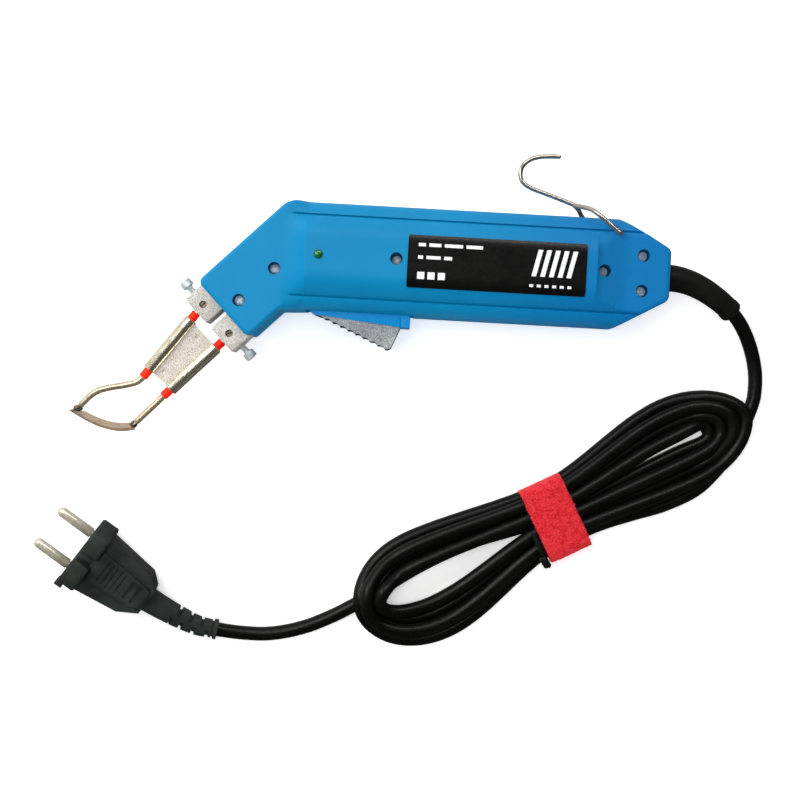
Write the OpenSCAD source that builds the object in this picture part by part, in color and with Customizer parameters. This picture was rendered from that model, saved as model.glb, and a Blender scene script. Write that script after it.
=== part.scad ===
// Hot knife for rope and fabric, lying on its side with its tied mains cord beside it.
// X runs to the cord end, Y to the hook side, Z up.
// The origin is on the side face it rests on, at mid-housing on the grip axis.

/* [Housing] */
// Width of the grip across its edges
body_w = 50; // [48:0.5:54]
// Height from the lower side face to the upper one
body_t = 38; // [38:0.5:42]
// Distance from the origin to the rear end
rear_x = 97.6; // [96:0.2:100]
// Wall thickness of both shells
wall = 2.4; // [2:0.1:2.6]
// Width of the nose that carries the terminal blocks
nose_w = 34; // [33:0.5:36]
// Distance of the nose's front face along the nose direction
nose_n = 91.7; // [91:0.1:93]

/* [Terminal blocks and tip] */
// Length of one terminal block along the nose face
block_l = 14.6; // [13.6:0.2:14.8]
// Height of a terminal block
block_h = 14; // [12:0.5:15]
// How far the blocks stand out of the nose
block_out = 10.1; // [9.6:0.1:12]
// Distance between the two tip rods at the blocks
rod_gap = 17.7; // [17.6:0.1:18]
// Diameter of the tip rods
rod_d = 3; // [2.6:0.1:3.2]
// Diameter of the insulating sleeves
sleeve_d = 4.2; // [4:0.1:4.6]
// Outer diameter of the rolled barrels
barrel_d = 6; // [5.6:0.1:6.4]
// Thickness of the curved blade strip
blade_h = 1.2; // [1:0.1:2]

/* [Trigger] */
// Width of the trigger along the pivot pin
trigger_w = 16; // [14:0.5:16]
// Diameter of the trigger's pivot pin
pin_d = 3; // [2.6:0.1:3.2]
// Number of finger scallops under the trigger pad
scallops = 9; // [6:1:12]

/* [Hook] */
// Diameter of the hook's wire
wire_d = 1.8; // [1.6:0.1:2]

/* [Cord and plug] */
// Diameter of the mains cord
cord_d = 6.5; // [6.2:0.1:6.6]
// Diameter of the plug pins
plug_pin_d = 4.8; // [4:0.1:4.8]
// Length of the plug pins outside the plug
plug_pin_l = 19; // [17:0.5:19]
// Distance between the plug pins
plug_pitch = 19; // [18:0.5:19]
// Width of the plug's pin face
plug_w = 37.8; // [35:0.2:38]
// Width of the hook-and-loop tie
tie_w = 20.5; // [18:0.5:22]

/* [Hidden] */
$fn = 48;

mid_z = body_t / 2;
half_w = body_w / 2;

// ---- outlines ----
function unit(v) = v / norm(v);
function left_of(v) = [-v[1], v[0]];
function at(list, i) = list[(i + len(list)) % len(list)];

// Moves every edge of an anticlockwise outline inwards by d
function inset_corner(a, b, c, d) =
    let (m = left_of(unit(b - a)), n = left_of(unit(c - b))) b + (m + n) * d / (1 + m * n);
function inset(pts, d) =
    [for (i = [0 : len(pts) - 1]) inset_corner(at(pts, i - 1), pts[i], at(pts, i + 1), d)];

// Rounds every corner of an outline by its own radius
function round_corner(a, b, c, r, steps = 5) =
    let (u = unit(a - b), w = unit(c - b), half = acos(u * w) / 2, back = r / tan(half),
         centre = b + unit(u + w) * r / sin(half))
    [for (k = [0 : steps]) centre + r * unit(
        (b + u * back - centre) * (1 - k / steps) + (b + w * back - centre) * k / steps)];
function rounded(pts, radii) = [for (i = [0 : len(pts) - 1])
    each (radii[i] > 0 ? round_corner(at(pts, i - 1), pts[i], at(pts, i + 1), radii[i]) : [pts[i]])];

// ---- housing ----
// The nose leaves the grip at 45 degrees: n runs along it to the tip, t across it
diag = sqrt(2);
function nose(n, t) = [(t - n) / diag, -(t + n) / diag];
nose_t = -54;
nose_upper_t = nose_t - nose_w / 2;
nose_lower_t = nose_t + nose_w / 2;
flat_h = 14.5;
nose_cap_h = flat_h - wall;

chamfer_x = rear_x - 23.5;
chamfer_y = half_w - 12.5;
shoulder_x = nose_upper_t * diag + half_w;
elbow_x = nose_lower_t * diag - half_w;
housing_outline = [
    [chamfer_x, half_w], [shoulder_x, half_w], nose(nose_n, nose_upper_t), nose(nose_n, nose_lower_t),
    [elbow_x, -half_w], [chamfer_x, -half_w], [rear_x, -chamfer_y + 1], [rear_x, chamfer_y - 1]];
housing_radii = [4, 12, 3, 3, 2, 4, 4, 4];
nose_outline = [
    [-70, half_w], [shoulder_x, half_w], nose(nose_n, nose_upper_t), nose(nose_n, nose_lower_t),
    [elbow_x, -half_w], [-74, -half_w]];
nose_radii = [0, 12, 3, 3, 2, 0];

// Cross-section of one half: rounded edge band, groove, then a crowned panel with a flat top
edge_r = 8;
edge_h = 6;
groove_y = 18.4;
groove_half = 0.4;
crown_flat = 7;
crown_side = [groove_y - groove_half, 13.9];
crown_drop = mid_z - crown_side[1];
crown_run = crown_side[0] - crown_flat;
crown_r = (crown_run * crown_run + crown_drop * crown_drop) / (2 * crown_drop);
function crown(y) = let (over = max(0, abs(y) - crown_flat))
    mid_z - crown_r + sqrt(crown_r * crown_r - over * over);
crown_step = crown_run / 6;
function edge_point(a) = [half_w - edge_r + edge_r * cos(a), edge_h + edge_r * sin(a)];
half_section = concat(
    [[half_w, 0]],
    [for (a = [0 : 15 : 75]) edge_point(a)],
    [[groove_y + groove_half, 13.8], [groove_y, 13.1]],
    [for (k = [0 : 6]) let (y = crown_side[0] - k * crown_step) [y, crown(y)]]);
function mirrored(pts) = [for (i = [len(pts) - 1 : -1 : 0]) [-pts[i][0], pts[i][1]]];
section = concat(half_section, mirrored(half_section));
inner_half = [[half_w - wall, -1], [half_w - wall, 7], [16.5, 12], [crown_flat, mid_z - wall - 0.2]];
inner_section = concat(inner_half, mirrored(inner_half));
// Side profile: nose flat, ramp, crowned panel, ramp, rear flat
panel_x0 = -67;
panel_x1 = 64;
side_profile = [
    [-130, 0], [rear_x + 5, 0], [rear_x + 5, flat_h], [panel_x1 + 8, flat_h], [panel_x1, mid_z],
    [panel_x0, mid_z], [panel_x0 - 10, flat_h], [-130, flat_h]];

module along_x(pts, x0, x1) {
    translate([x0, 0, 0]) rotate([90, 0, 90]) linear_extrude(x1 - x0) polygon(pts);
}

module half_solid() {
    intersection() {
        linear_extrude(mid_z) polygon(rounded(housing_outline, housing_radii));
        along_x(section, -130, rear_x + 1);
        translate([0, 60, 0]) rotate([90, 0, 0]) linear_extrude(120) polygon(side_profile);
    }
    linear_extrude(flat_h) polygon(rounded(nose_outline, nose_radii));
}

module half_cavity() {
    intersection() {
        translate([0, 0, -1]) linear_extrude(mid_z) polygon(inset(housing_outline, wall));
        along_x(inner_section, -64, rear_x);
        translate([-70, -40, -1]) cube([136, 80, 40]);
    }
    translate([0, 0, -1]) linear_extrude(nose_cap_h + 1) polygon(inset(housing_outline, wall));
}

// Self-tapping screws: nose pair, grip, rear three
screw_at = [nose(83.5, -52.2), nose(62, -52.2), [-26, 0], [67.5, 0], [85, 8], [85, -8]];
screw_head_r = 2.3;
screw_head_h = 2;
screw_r = 1.25;
recess_r = 2.8;
recess_floor = 8;
boss_r = 3.6;
rear_boss_r = 3.2;
screw_tip = 14;
function boss(i) = i > 3 ? rear_boss_r : boss_r;
function boss_h(i) = i == 2 ? mid_z - 1 : flat_h - 1;

// Blocks, in nose directions
block_t = [nose_t - rod_gap / 2 + 0.35, nose_t + rod_gap / 2 + 0.35];
block_back = 87.6;
block_front = nose_n + block_out;
module nose_box(n0, n1, t0, t1, z0, z1) {
    translate([0, 0, z0]) linear_extrude(z1 - z0)
        polygon([nose(n0, t0), nose(n0, t1), nose(n1, t1), nose(n1, t0)]);
}
module nose_rod(n, t0, t1, z, r) {
    translate([nose(n, t0)[0], nose(n, t0)[1], z]) rotate([0, 0, -45]) rotate([0, 90, 0])
        cylinder(r = r, h = t1 - t0);
}
module block_box(i, grow = 0) {
    nose_box(block_back - grow, block_front, block_t[i] - block_l / 2 - grow,
        block_t[i] + block_l / 2 + grow, mid_z - block_h / 2 - grow, mid_z + block_h / 2 + grow);
}

// Trigger
pivot = [-61, -21];
trigger_slot = [-66, -17];
slot_half = trigger_w / 2 + 0.3;
pin_half = 11;

// Hook
hook_pivot = [74.2, 17];
hook_leg_h = 15.8;
hook_hole_r = wire_d / 2 + 0.08;

// Rear entry of the cord
neck_r = 5.4;
flange_r = 6.9;

board_top = 9.6;
lens_at = [-61, 0];
lens_r = 2;

module shell_openings() {
    for (i = [0, 1]) translate([0, 0, -mid_z]) block_box(i, 0.1);
    translate([trigger_slot[0], -half_w - 1, -1])
        cube([trigger_slot[1] - trigger_slot[0], half_w - 14, slot_half + 1]);
    translate([pivot[0], pivot[1], -1]) cylinder(d = pin_d, h = pin_half + 1.2);
    translate([hook_pivot[0], hook_pivot[1], -1]) cylinder(r = hook_hole_r, h = 20);
    translate([rear_x - 10, 0, 0]) rotate([0, 90, 0]) cylinder(r = neck_r + 0.05, h = 20);
}

module upper_half() {
    difference() {
        union() {
            difference() {
                half_solid();
                half_cavity();
            }
            for (i = [0 : 5]) translate(screw_at[i]) cylinder(r = boss(i), h = boss_h(i));
            for (x = [-67.5, -56.1]) rib(x, 8, board_top);
        }
        shell_openings();
        for (p = screw_at) translate(p) {
            translate([0, 0, recess_floor]) cylinder(r = recess_r, h = 20);
            translate([0, 0, -1]) cylinder(r = screw_r + 0.2, h = 20);
        }
        translate(lens_at) cylinder(r = lens_r + 0.05, h = 30);
    }
}

// A rib from the shell's inside up to a seat h away from the mid-plane
rib_t = 1.6;
module rib(x, w, h) {
    translate([x, -w / 2, h]) cube([rib_t, w, mid_z - 2 - h]);
}

clamp_x = 77.5;
clamp_y = 7;
clamp_seat = cord_d / 2 + 0.05;
module lower_half() {
    difference() {
        union() {
            difference() {
                half_solid();
                half_cavity();
            }
            for (i = [0 : 5]) translate(screw_at[i]) cylinder(r = boss(i), h = boss_h(i));
            for (s = [-1, 1]) translate([clamp_x, s * clamp_y, -clamp_seat])
                cylinder(r = 2.4, h = clamp_seat + flat_h - 1);
            for (x = [-10, 24]) rib(x, 20, core_half[1]);
            for (x = [-49, -37]) translate([0, -5.5, 0]) rib(x, 9, switch_half);
            translate([spring_at[0], spring_at[1], -spring_half]) cylinder(r = spring_post_r, h = 20);
        }
        shell_openings();
        for (p = screw_at) translate([p[0], p[1], -1]) cylinder(r = screw_r + 0.05, h = screw_tip - 2);
        for (s = [-1, 1]) translate([clamp_x, s * clamp_y, -clamp_seat - 1])
            cylinder(r = 1.05, h = 11);
    }
}

module housing_upper() {
    color([0.08, 0.5, 0.78]) translate([0, 0, mid_z]) upper_half();
}

module housing_lower() {
    color([0.08, 0.5, 0.78]) translate([0, 0, mid_z]) mirror([0, 0, 1]) lower_half();
}

module cross_screw(head_r, head_h, shank_r, shank_l) {
    difference() {
        union() {
            cylinder(r = head_r, h = head_h);
            translate([0, 0, -shank_l]) cylinder(r = shank_r, h = shank_l + 0.1);
        }
        for (a = [0, 90]) rotate([0, 0, a]) translate([-head_r * 0.6, -0.3, head_h * 0.4])
            cube([head_r * 1.2, 0.6, head_h]);
    }
}

module housing_screws() {
    color("silver") for (p = screw_at) translate([p[0], p[1], mid_z + recess_floor])
        cross_screw(screw_head_r, screw_head_h, screw_r, recess_floor + 10);
}

// Label wrapped over the crown of the upper side face
label_x = [-21, 59];
label_half = 12.5;
label_t = 0.3;
label_edge = [for (k = [-6 : 6]) let (y = label_half * k / 6) [y, mid_z + crown(y)]];
module rating_label() {
    color([0.06, 0.06, 0.07]) difference() {
        along_x(concat([for (p = label_edge) p + [0, label_t]],
            [for (i = [len(label_edge) - 1 : -1 : 0]) label_edge[i] - [0, 1]]), label_x[0], label_x[1]);
        housing_upper();
    }
}

module indicator_lens() {
    color([0.1, 0.6, 0.2]) translate([lens_at[0], lens_at[1], 31.5]) {
        cylinder(r = lens_r, h = body_t - 31.5 + 0.2);
        translate([0, 0, body_t - 31.5 + 0.2]) scale([1, 1, 0.4]) intersection() {
            sphere(r = lens_r);
            cylinder(r = lens_r + 1, h = 4);
        }
        cylinder(r = lens_r + 0.8, h = 1.2);
    }
}

module lamp_board() {
    color([0.1, 0.35, 0.15]) translate([lens_at[0] - 7, -5, mid_z + board_top - 1.6])
        cube([14, 10, 1.6]);
    color([0.4, 0.9, 0.4]) translate([lens_at[0], 0, mid_z + board_top])
        cylinder(r = 1.5, h = 2.8);
}

// ---- terminal blocks ----
rod_start = 90;
rod_hole_r = rod_d / 2 + 0.06;
clamp_n = 97;
clamp_r = 1.5;
clamp_head_r = 2.8;
clamp_head_l = 3.5;
clamp_stand = 4;
grub_r = 1.7;
grub_n = 97.2;
module terminal_block(i) {
    outer = i == 0 ? -1 : 1;
    difference() {
        block_box(i);
        rod_bore(i);
        translate([nose(grub_n, block_t[i])[0], nose(grub_n, block_t[i])[1], mid_z])
            cylinder(r = grub_r, h = 20);
        clamp_hole(i, outer);
    }
}
module rod_bore(i) {
    start = nose(rod_start - 1, block_t[i]);
    translate([start[0], start[1], mid_z]) rotate([0, 0, -135]) rotate([0, 90, 0])
        cylinder(r = rod_hole_r, h = 30);
}
module clamp_hole(i, outer) {
    near = block_t[i] + outer * (rod_d / 2 - 0.5);
    far = block_t[i] + outer * 20;
    nose_rod(clamp_n, min(near, far), max(near, far), mid_z, clamp_r + 0.02);
}
module terminal_block_a() { color([0.75, 0.74, 0.72]) terminal_block(0); }
module terminal_block_b() { color([0.75, 0.74, 0.72]) terminal_block(1); }

module block_grub_screws() {
    color("silver") for (i = [0, 1])
        translate([nose(grub_n, block_t[i])[0], nose(grub_n, block_t[i])[1], mid_z + rod_d / 2 + 0.1])
            difference() {
                cylinder(r = grub_r, h = 4);
                translate([-3, -0.35, 3]) cube([6, 0.7, 2]);
            }
}

// Clamp screws run across the nose, with their heads at the outer ends
module clamp_screw(i) {
    outer = i == 0 ? -1 : 1;
    tip = block_t[i] + outer * (rod_d / 2 + 0.15);
    face = block_t[i] + outer * (block_l / 2 + clamp_stand);
    start = nose(clamp_n, tip);
    translate([start[0], start[1], mid_z]) rotate([0, 0, i == 0 ? 135 : -45]) rotate([0, 90, 0])
        difference() {
            union() {
                cylinder(r = clamp_r, h = abs(face - tip) + 0.1);
                translate([0, 0, abs(face - tip)]) cylinder(r = clamp_head_r, h = clamp_head_l);
            }
            translate([0, 0, abs(face - tip) + 1.5]) cylinder(r = 1.4, h = 5, $fn = 6);
        }
}
module clamp_screw_a() { color("silver") clamp_screw(0); }
module clamp_screw_b() { color("silver") clamp_screw(1); }

// ---- swept tubes ----
// A round tube along a route, one ring at each point, radii given per point
function direction(path, i) = unit(
    (i < len(path) - 1 ? path[i + 1] : path[i]) - (i > 0 ? path[i - 1] : path[i]));
function ring(p, d, r, sides) =
    let (side = unit(cross([0, 0, 1], d)), up = cross(d, side))
    [for (k = [0 : sides - 1]) p + r * (cos(360 * k / sides) * side + sin(360 * k / sides) * up)];
module swept(path, radii, sides) {
    n = len(path);
    polyhedron(
        points = [for (i = [0 : n - 1]) each ring(path[i], direction(path, i), radii[i], sides)],
        faces = concat(
            [[for (k = [0 : sides - 1]) k]],
            [[for (k = [sides - 1 : -1 : 0]) (n - 1) * sides + k]],
            [for (i = [0 : n - 2], k = [0 : sides - 1]) let (j = (k + 1) % sides)
                each [[i * sides + k, (i + 1) * sides + k, (i + 1) * sides + j],
                      [i * sides + k, (i + 1) * sides + j, i * sides + j]]]));
}
// Extra points on a Catmull-Rom curve through the route
function blend(a, b, c, d, u) = 0.5 * (2 * b + (c - a) * u + (2 * a - 5 * b + 4 * c - d) * u * u
    + (3 * b - a - 3 * c + d) * u * u * u);
function smooth(path, steps) = let (n = len(path)) concat(
    [for (i = [0 : n - 2], k = [0 : steps - 1])
        blend(path[max(i - 1, 0)], path[i], path[i + 1], path[min(i + 2, n - 1)], k / steps)],
    [path[n - 1]]);
module tube(path, r, sides = 12, steps = 3) {
    fine = smooth(path, steps);
    swept(fine, [for (p = fine) r], sides);
}

// ---- tip ----
function nose3(n, t) = [nose(n, t)[0], nose(n, t)[1], mid_z];
function between(a, b, u) = a + (b - a) * u;
// Each rod leaves its block straight, passes its barrel on a straight line and ends at the blade
upper_a = nose3(103, block_t[0]);
upper_b = [-139.8, -59.1, mid_z];
lower_a = nose3(103, block_t[1]);
lower_b = [-129.9, -67.3, mid_z];
function straight(a, b) = [for (u = [0, 0.06, 0.14, 0.9, 1]) between(a, b, u)];
upper_route = concat(
    [nose3(rod_start, block_t[0]), nose3(101, block_t[0])], straight(upper_a, upper_b),
    [[-142.5, -61.5, mid_z], [-148, -63.2, mid_z], [-155, -64.8, mid_z],
     [-160, -66.5, mid_z], [-164, -69.5, mid_z], [-168, -74, mid_z]]);
lower_route = concat(
    [nose3(rod_start, block_t[1]), nose3(101, block_t[1])], straight(lower_a, lower_b),
    [[-132, -69.7, mid_z], [-138, -76, mid_z], [-142, -80.2, mid_z]]);

module tip_rod_upper() {
    color([0.7, 0.66, 0.6]) difference() {
        tube(upper_route, rod_d / 2, 12, 2);
        blade_strip(0.02);
    }
}
module tip_rod_lower() {
    color([0.7, 0.66, 0.6]) difference() {
        tube(lower_route, rod_d / 2, 12, 2);
        blade_strip(0.02);
    }
}

// The blade is a curved flat strip between the two rod ends
blade_outer = [[-173.5, -76], [-166, -80], [-158, -83.2], [-149, -84.6], [-142, -83.5]];
blade_inner = [[-142.5, -80], [-150, -80.6], [-158, -79.2], [-167, -75.4]];
module blade_strip(grow = 0) {
    translate([0, 0, mid_z - blade_h / 2 - grow]) linear_extrude(blade_h + 2 * grow)
        polygon(concat(smooth(blade_outer, 4), smooth(blade_inner, 4)));
}
module blade() { color([0.6, 0.55, 0.48]) blade_strip(); }

// Straight parts of the rods, for what is threaded on them
module on_rod(a, b, r0, r1) {
    translate(a) rotate([0, 0, atan2(b[1] - a[1], b[0] - a[0])]) rotate([0, 90, 0]) difference() {
        cylinder(r = r1, h = norm(b - a));
        translate([0, 0, -1]) cylinder(r = r0, h = norm(b - a) + 2);
    }
}
sleeve_bore = rod_d / 2 + 0.2;
barrel_bore = sleeve_d / 2 + 0.05;
sleeve_from = 0.01;
sleeve_to = 1;
module sleeve_upper() {
    color([0.85, 0.12, 0.05]) on_rod(between(upper_a, upper_b, sleeve_from),
        between(upper_a, upper_b, sleeve_to), sleeve_bore, sleeve_d / 2);
}
module sleeve_lower() {
    color([0.85, 0.12, 0.05]) on_rod(between(lower_a, lower_b, sleeve_from),
        between(lower_a, lower_b, sleeve_to), sleeve_bore, sleeve_d / 2);
}
barrel_from = 0.088;
barrel_to = 0.88;
module tip_bracket() {
    ua = between(upper_a, upper_b, barrel_from);
    ub = between(upper_a, upper_b, barrel_to);
    la = between(lower_a, lower_b, barrel_from);
    lb = between(lower_a, lower_b, barrel_to);
    color([0.78, 0.76, 0.73]) {
        on_rod(ua, ub, barrel_bore, barrel_d / 2);
        on_rod(la, lb, barrel_bore, barrel_d / 2);
        difference() {
            translate([0, 0, mid_z - 0.5]) linear_extrude(1)
                polygon([[ua[0], ua[1]], [ub[0], ub[1]], [lb[0], lb[1]], [la[0], la[1]]]);
            on_rod(upper_a, upper_b, 0, barrel_bore + 0.3);
            on_rod(lower_a, lower_b, 0, barrel_bore + 0.3);
        }
    }
}

// ---- trigger ----
carrier_half = trigger_w / 2;
carrier_top = -19.5;
carrier_outline = [
    [-64, carrier_top], [-64, -25], [-62, -26.2], [-22.5, -30], [-18.3, -30], [-18.3, carrier_top]];
module trigger_carrier() {
    color([0.05, 0.35, 0.75]) difference() {
        translate([0, 0, mid_z - carrier_half]) linear_extrude(trigger_w) polygon(carrier_outline);
        translate([pivot[0], pivot[1], 0]) cylinder(d = pin_d + 0.1, h = 60);
        translate([-52, -24, mid_z - carrier_half + 2]) cube([6, 10, trigger_w - 4]);
        translate([-34, -25, mid_z - carrier_half + 2]) cube([13, 12, trigger_w - 4]);
    }
}
// Finger pad with a scalloped lower edge, set under the carrier
pad_half = carrier_half - 0.5;
pad_front = [-61, -26.4];
pad_tip = [-29, -40.3];
scallop_depth = 0.7;
function pad_edge(u) = let (along = unit(pad_tip - pad_front))
    between(pad_front, pad_tip, u) + left_of(along) * scallop_depth * abs(sin(180 * scallops * u))
    * min(1, 8 * u);
pad_outline = concat(
    [for (k = [0 : scallops * 6]) pad_edge(k / (scallops * 6))],
    [[-27.2, -40], [-26.3, -39], [-22.6, -30.2]],
    [[-22.6, -30]]);
module trigger_pad() {
    color([0.7, 0.7, 0.7]) difference() {
        translate([0, 0, mid_z - pad_half]) linear_extrude(2 * pad_half) polygon(pad_outline);
        trigger_carrier_fill();
    }
}
module trigger_carrier_fill() {
    translate([0, 0, mid_z - carrier_half - 1]) linear_extrude(trigger_w + 2)
        polygon(carrier_outline);
}
module trigger_pin() {
    color("silver") translate([pivot[0], pivot[1], mid_z - pin_half]) cylinder(d = pin_d, h = 2 * pin_half);
}
// Torsion spring: a closed coil on a post, with its long leg over the carrier's fully pulled place
spring_at = [-57, -12.5];
spring_r = 3.2;
spring_post_r = 2.5;
spring_half = 3.2;
module trigger_spring() {
    color("silver") translate([spring_at[0], spring_at[1], mid_z]) difference() {
        union() {
            translate([0, 0, -spring_half]) cylinder(r = spring_r, h = 2 * spring_half);
            translate([1.5, -2.9, -0.4]) rotate([0, 0, -11]) cube([10.5, 0.8, 0.8]);
        }
        translate([0, 0, -10]) cylinder(r = spring_post_r + 0.05, h = 20);
    }
}

// ---- inside ----
switch_x = -42;
switch_half = 6;
module switch_body() {
    color([0.15, 0.15, 0.16]) difference() {
        translate([switch_x - 9, -11.5, mid_z - switch_half])
            cube([18, 12, 2 * switch_half]);
        translate([switch_x, 0, mid_z]) rotate([90, 0, 0]) cylinder(r = 1.6, h = 20);
    }
    color("silver") for (dx = [-6, 6]) translate([switch_x + dx - 0.4, 0.5, mid_z - 2]) cube([0.8, 2.5, 4]);
}
module switch_plunger() {
    color([0.75, 0.2, 0.15]) translate([switch_x, -7, mid_z]) rotate([90, 0, 0])
        cylinder(r = 1.5, h = abs(carrier_top) - 7 - 0.1);
}

core_x = [-14, 30];
core_half = [15.5, 11.5];
leg_half = 5.5;
yoke = 6;
module transformer_core() {
    color([0.35, 0.36, 0.38]) difference() {
        translate([core_x[0], -core_half[0], mid_z - core_half[1]])
            cube([core_x[1] - core_x[0], 2 * core_half[0], 2 * core_half[1]]);
        for (s = [-1, 1]) translate([core_x[0] + yoke, s * (leg_half + 2.5) - 2.5, 0])
            cube([core_x[1] - core_x[0] - 2 * yoke, 5, 60]);
    }
}
// The two limbs of the winding that fill the core's windows
module transformer_coil() {
    color([0.72, 0.38, 0.15]) for (s = [-1, 1])
        translate([core_x[0] + yoke + 0.2, s * (leg_half + 2.5) - 2.3, mid_z - core_half[1]])
            cube([core_x[1] - core_x[0] - 2 * yoke - 0.4, 4.6, 2 * core_half[1]]);
}

bar_w = 3;
bar_z = [mid_z - 2, mid_z + 2];
module strip(points, w) {
    translate([0, 0, bar_z[0]]) linear_extrude(bar_z[1] - bar_z[0])
        for (i = [0 : len(points) - 2]) {
            a = points[i];
            b = points[i + 1];
            translate(a) rotate(atan2(b[1] - a[1], b[0] - a[0]))
                translate([0, -w / 2]) square([norm(b - a), w]);
            if (i > 0) translate(a) circle(d = w);
        }
}
bar_a_y = 9.4;
bar_b_y = 5.7;
module secondary_bar_a() {
    color([0.75, 0.45, 0.25])
        strip([[core_x[0], bar_a_y], [block_t[0] * diag + bar_a_y, bar_a_y], nose(block_back, block_t[0])], bar_w);
}
module secondary_bar_b() {
    color([0.75, 0.45, 0.25])
        strip([[core_x[0], bar_b_y], [block_t[1] * diag + bar_b_y, bar_b_y], nose(block_back, block_t[1])], bar_w);
}

sheath_x = [74, 90.9];
wire_a = [[73.9, 1.6, mid_z], [71, 4, mid_z], [67, 6.5, mid_z], [58, 10, mid_z], [48, 17, mid_z],
    [36, 19, mid_z], [0, 19, mid_z], [-18, 18, mid_z + 2], [-26, 13.5, mid_z + 4.6],
    [-32, 7.5, mid_z + 5], [-35, 3.5, mid_z + 4.4], [-36, 1.8, mid_z + 3.4]];
wire_b = [[73.9, -1.6, mid_z], [71, -4, mid_z], [67, -6.5, mid_z], [58, -8, mid_z], [44, -8, mid_z],
    [30.1, -8, mid_z]];
module inner_wires() {
    color([0.05, 0.05, 0.05]) translate([sheath_x[0], 0, mid_z]) rotate([0, 90, 0])
        cylinder(d = cord_d, h = sheath_x[1] - sheath_x[0]);
    color([0.1, 0.2, 0.6]) tube(wire_a, 1, 8, 2);
    color([0.4, 0.2, 0.1]) tube(wire_b, 1, 8, 2);
}

module cord_clamp() {
    color([0.2, 0.2, 0.2]) difference() {
        translate([clamp_x - 2.3, -clamp_y - 2.8, mid_z + clamp_seat])
            cube([4.6, 2 * clamp_y + 5.6, 2.4]);
        for (s = [-1, 1]) translate([clamp_x, s * clamp_y, 0]) cylinder(r = 1.15, h = 60);
    }
}
module cord_clamp_screws() {
    color("silver") for (s = [-1, 1]) translate([clamp_x, s * clamp_y, mid_z + clamp_seat + 2.4])
        cross_screw(2, 1.4, 1, 9);
}

// ---- strain relief, hook ----
relief_path = [[91, 0, mid_z], [94, 0, mid_z], [94.05, 0, mid_z], [97.6, 0, mid_z], [97.65, 0, mid_z],
    [99.2, 0, mid_z], [99.25, 0, mid_z], [104, -0.4, mid_z], [110, -1.8, mid_z - 0.6],
    [116, -4.2, mid_z - 1.5], [121.5, -7.2, mid_z - 2.7], [126.5, -10.4, mid_z - 4.2],
    [131, -13.8, mid_z - 6]];
relief_radii = [6.9, 6.9, 5.3, 5.3, 6.8, 6.8, 6.2, 6, 5.8, 5.6, 5.4, 5.2, 4.95];
module strain_relief() {
    color([0.06, 0.06, 0.06]) swept(relief_path, relief_radii, 24);
}

hook_leg_z = mid_z + hook_leg_h;
// The single wire runs from its free end to the fork, then one leg goes each side of the housing
hook_wire = [[46.5, 53.2, mid_z], [41.5, 53, mid_z], [37, 52.5, mid_z], [32.5, 50.7, mid_z],
    [29.4, 47.5, mid_z], [28.7, 43.8, mid_z], [30, 40.4, mid_z], [33.8, 37.9, mid_z],
    [42, 35.2, mid_z], [50, 32.6, mid_z], [55.5, 30.6, mid_z + 0.4]];
function hook_leg(s) = [[54, 31.2, mid_z], [57, 29.7, mid_z + s * 5], [59, 28.4, mid_z + s * 11],
    [61, 27, mid_z + s * 14.6], [64, 24.7, mid_z + s * hook_leg_h], [69, 21, mid_z + s * hook_leg_h],
    [hook_pivot[0], hook_pivot[1], mid_z + s * hook_leg_h]];
module hanging_hook() {
    color([0.8, 0.8, 0.8]) {
        tube(hook_wire, wire_d / 2, 12, 2);
        for (s = [-1, 1]) {
            tube(hook_leg(s), wire_d / 2, 12, 2);
            translate([hook_pivot[0], hook_pivot[1], mid_z + s * (hook_leg_h + 11.4) / 2])
                cylinder(d = wire_d, h = hook_leg_h + wire_d / 2 - 11.4, center = true);
        }
    }
}

// ---- cord ----
cord_r = cord_d / 2;
hank_centre = [54, -113];
hank_angle = 28;
lead_route = [[131, -13.8, 13], [134, -16.5, 11.2], [137.5, -20.5, 8.6], [140.8, -25.5, 5.9],
    [143.4, -31, 4.2], [145.2, -37, 3.5], [146.2, -43, 3.3], [146.2, -50, 3.3], [145, -57, 3.3],
    [143, -63, 3.3]];
tail_route = [[-33.5, -159, 3.3], [-41, -163.2, 3.3], [-49, -167.6, 3.3], [-58, -171.8, 3.3],
    [-68, -175, 3.3], [-78, -176.8, 3.3], [-88, -177, 3.3], [-95, -176.5, 3.9], [-101, -175.8, 4.6]];
module cord_lead() { color([0.07, 0.07, 0.07]) tube(lead_route, cord_r, 12, 2); }
module cord_tail() { color([0.07, 0.07, 0.07]) tube(tail_route, cord_r, 12, 2); }

hank_h = 2 * cord_d;
waist = [[-17.2, 17.4], [0.9, hank_h - 0.1]];
// Outline of the two loops, in the hank's own directions
hank_outline = [[-14, -22], [-40, -29], [-68, -33.5], [-96, -27], [-106, -8], [-98, 10], [-76, 22.5],
    [-42, 20], [-14, 16], [0, 15], [14, 17], [46, 27], [70, 30.5], [94, 21], [105.5, 2], [100, -12],
    [80, -20.5], [58, -22.5], [14, -18], [0, -16]];
module in_hank() {
    translate(hank_centre) rotate([0, 0, hank_angle]) children();
}
module cord_hank() {
    color([0.07, 0.07, 0.07]) in_hank() {
        difference() {
            linear_extrude(hank_h) polygon(rounded(hank_outline, [for (p = hank_outline) abs(p[0]) < 20 ? 3 : 14]));
            translate([-tie_w / 2, -40, -1]) cube([tie_w, 80, 40]);
        }
        translate([-tie_w / 2 - 1, -15.7, 1.4]) cube([tie_w + 2, 31.6, hank_h - 1.6]);
    }
}
tie_t = 1.4;
module cord_tie() {
    color([0.86, 0.15, 0.2]) in_hank() difference() {
        translate([-tie_w / 2, -15.7 - tie_t, 0]) cube([tie_w, 31.6 + 2 * tie_t, hank_h - 0.2 + tie_t]);
        translate([-tie_w, -15.7, tie_t]) cube([2 * tie_w, 31.6, hank_h - 1.6]);
    }
}
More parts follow.
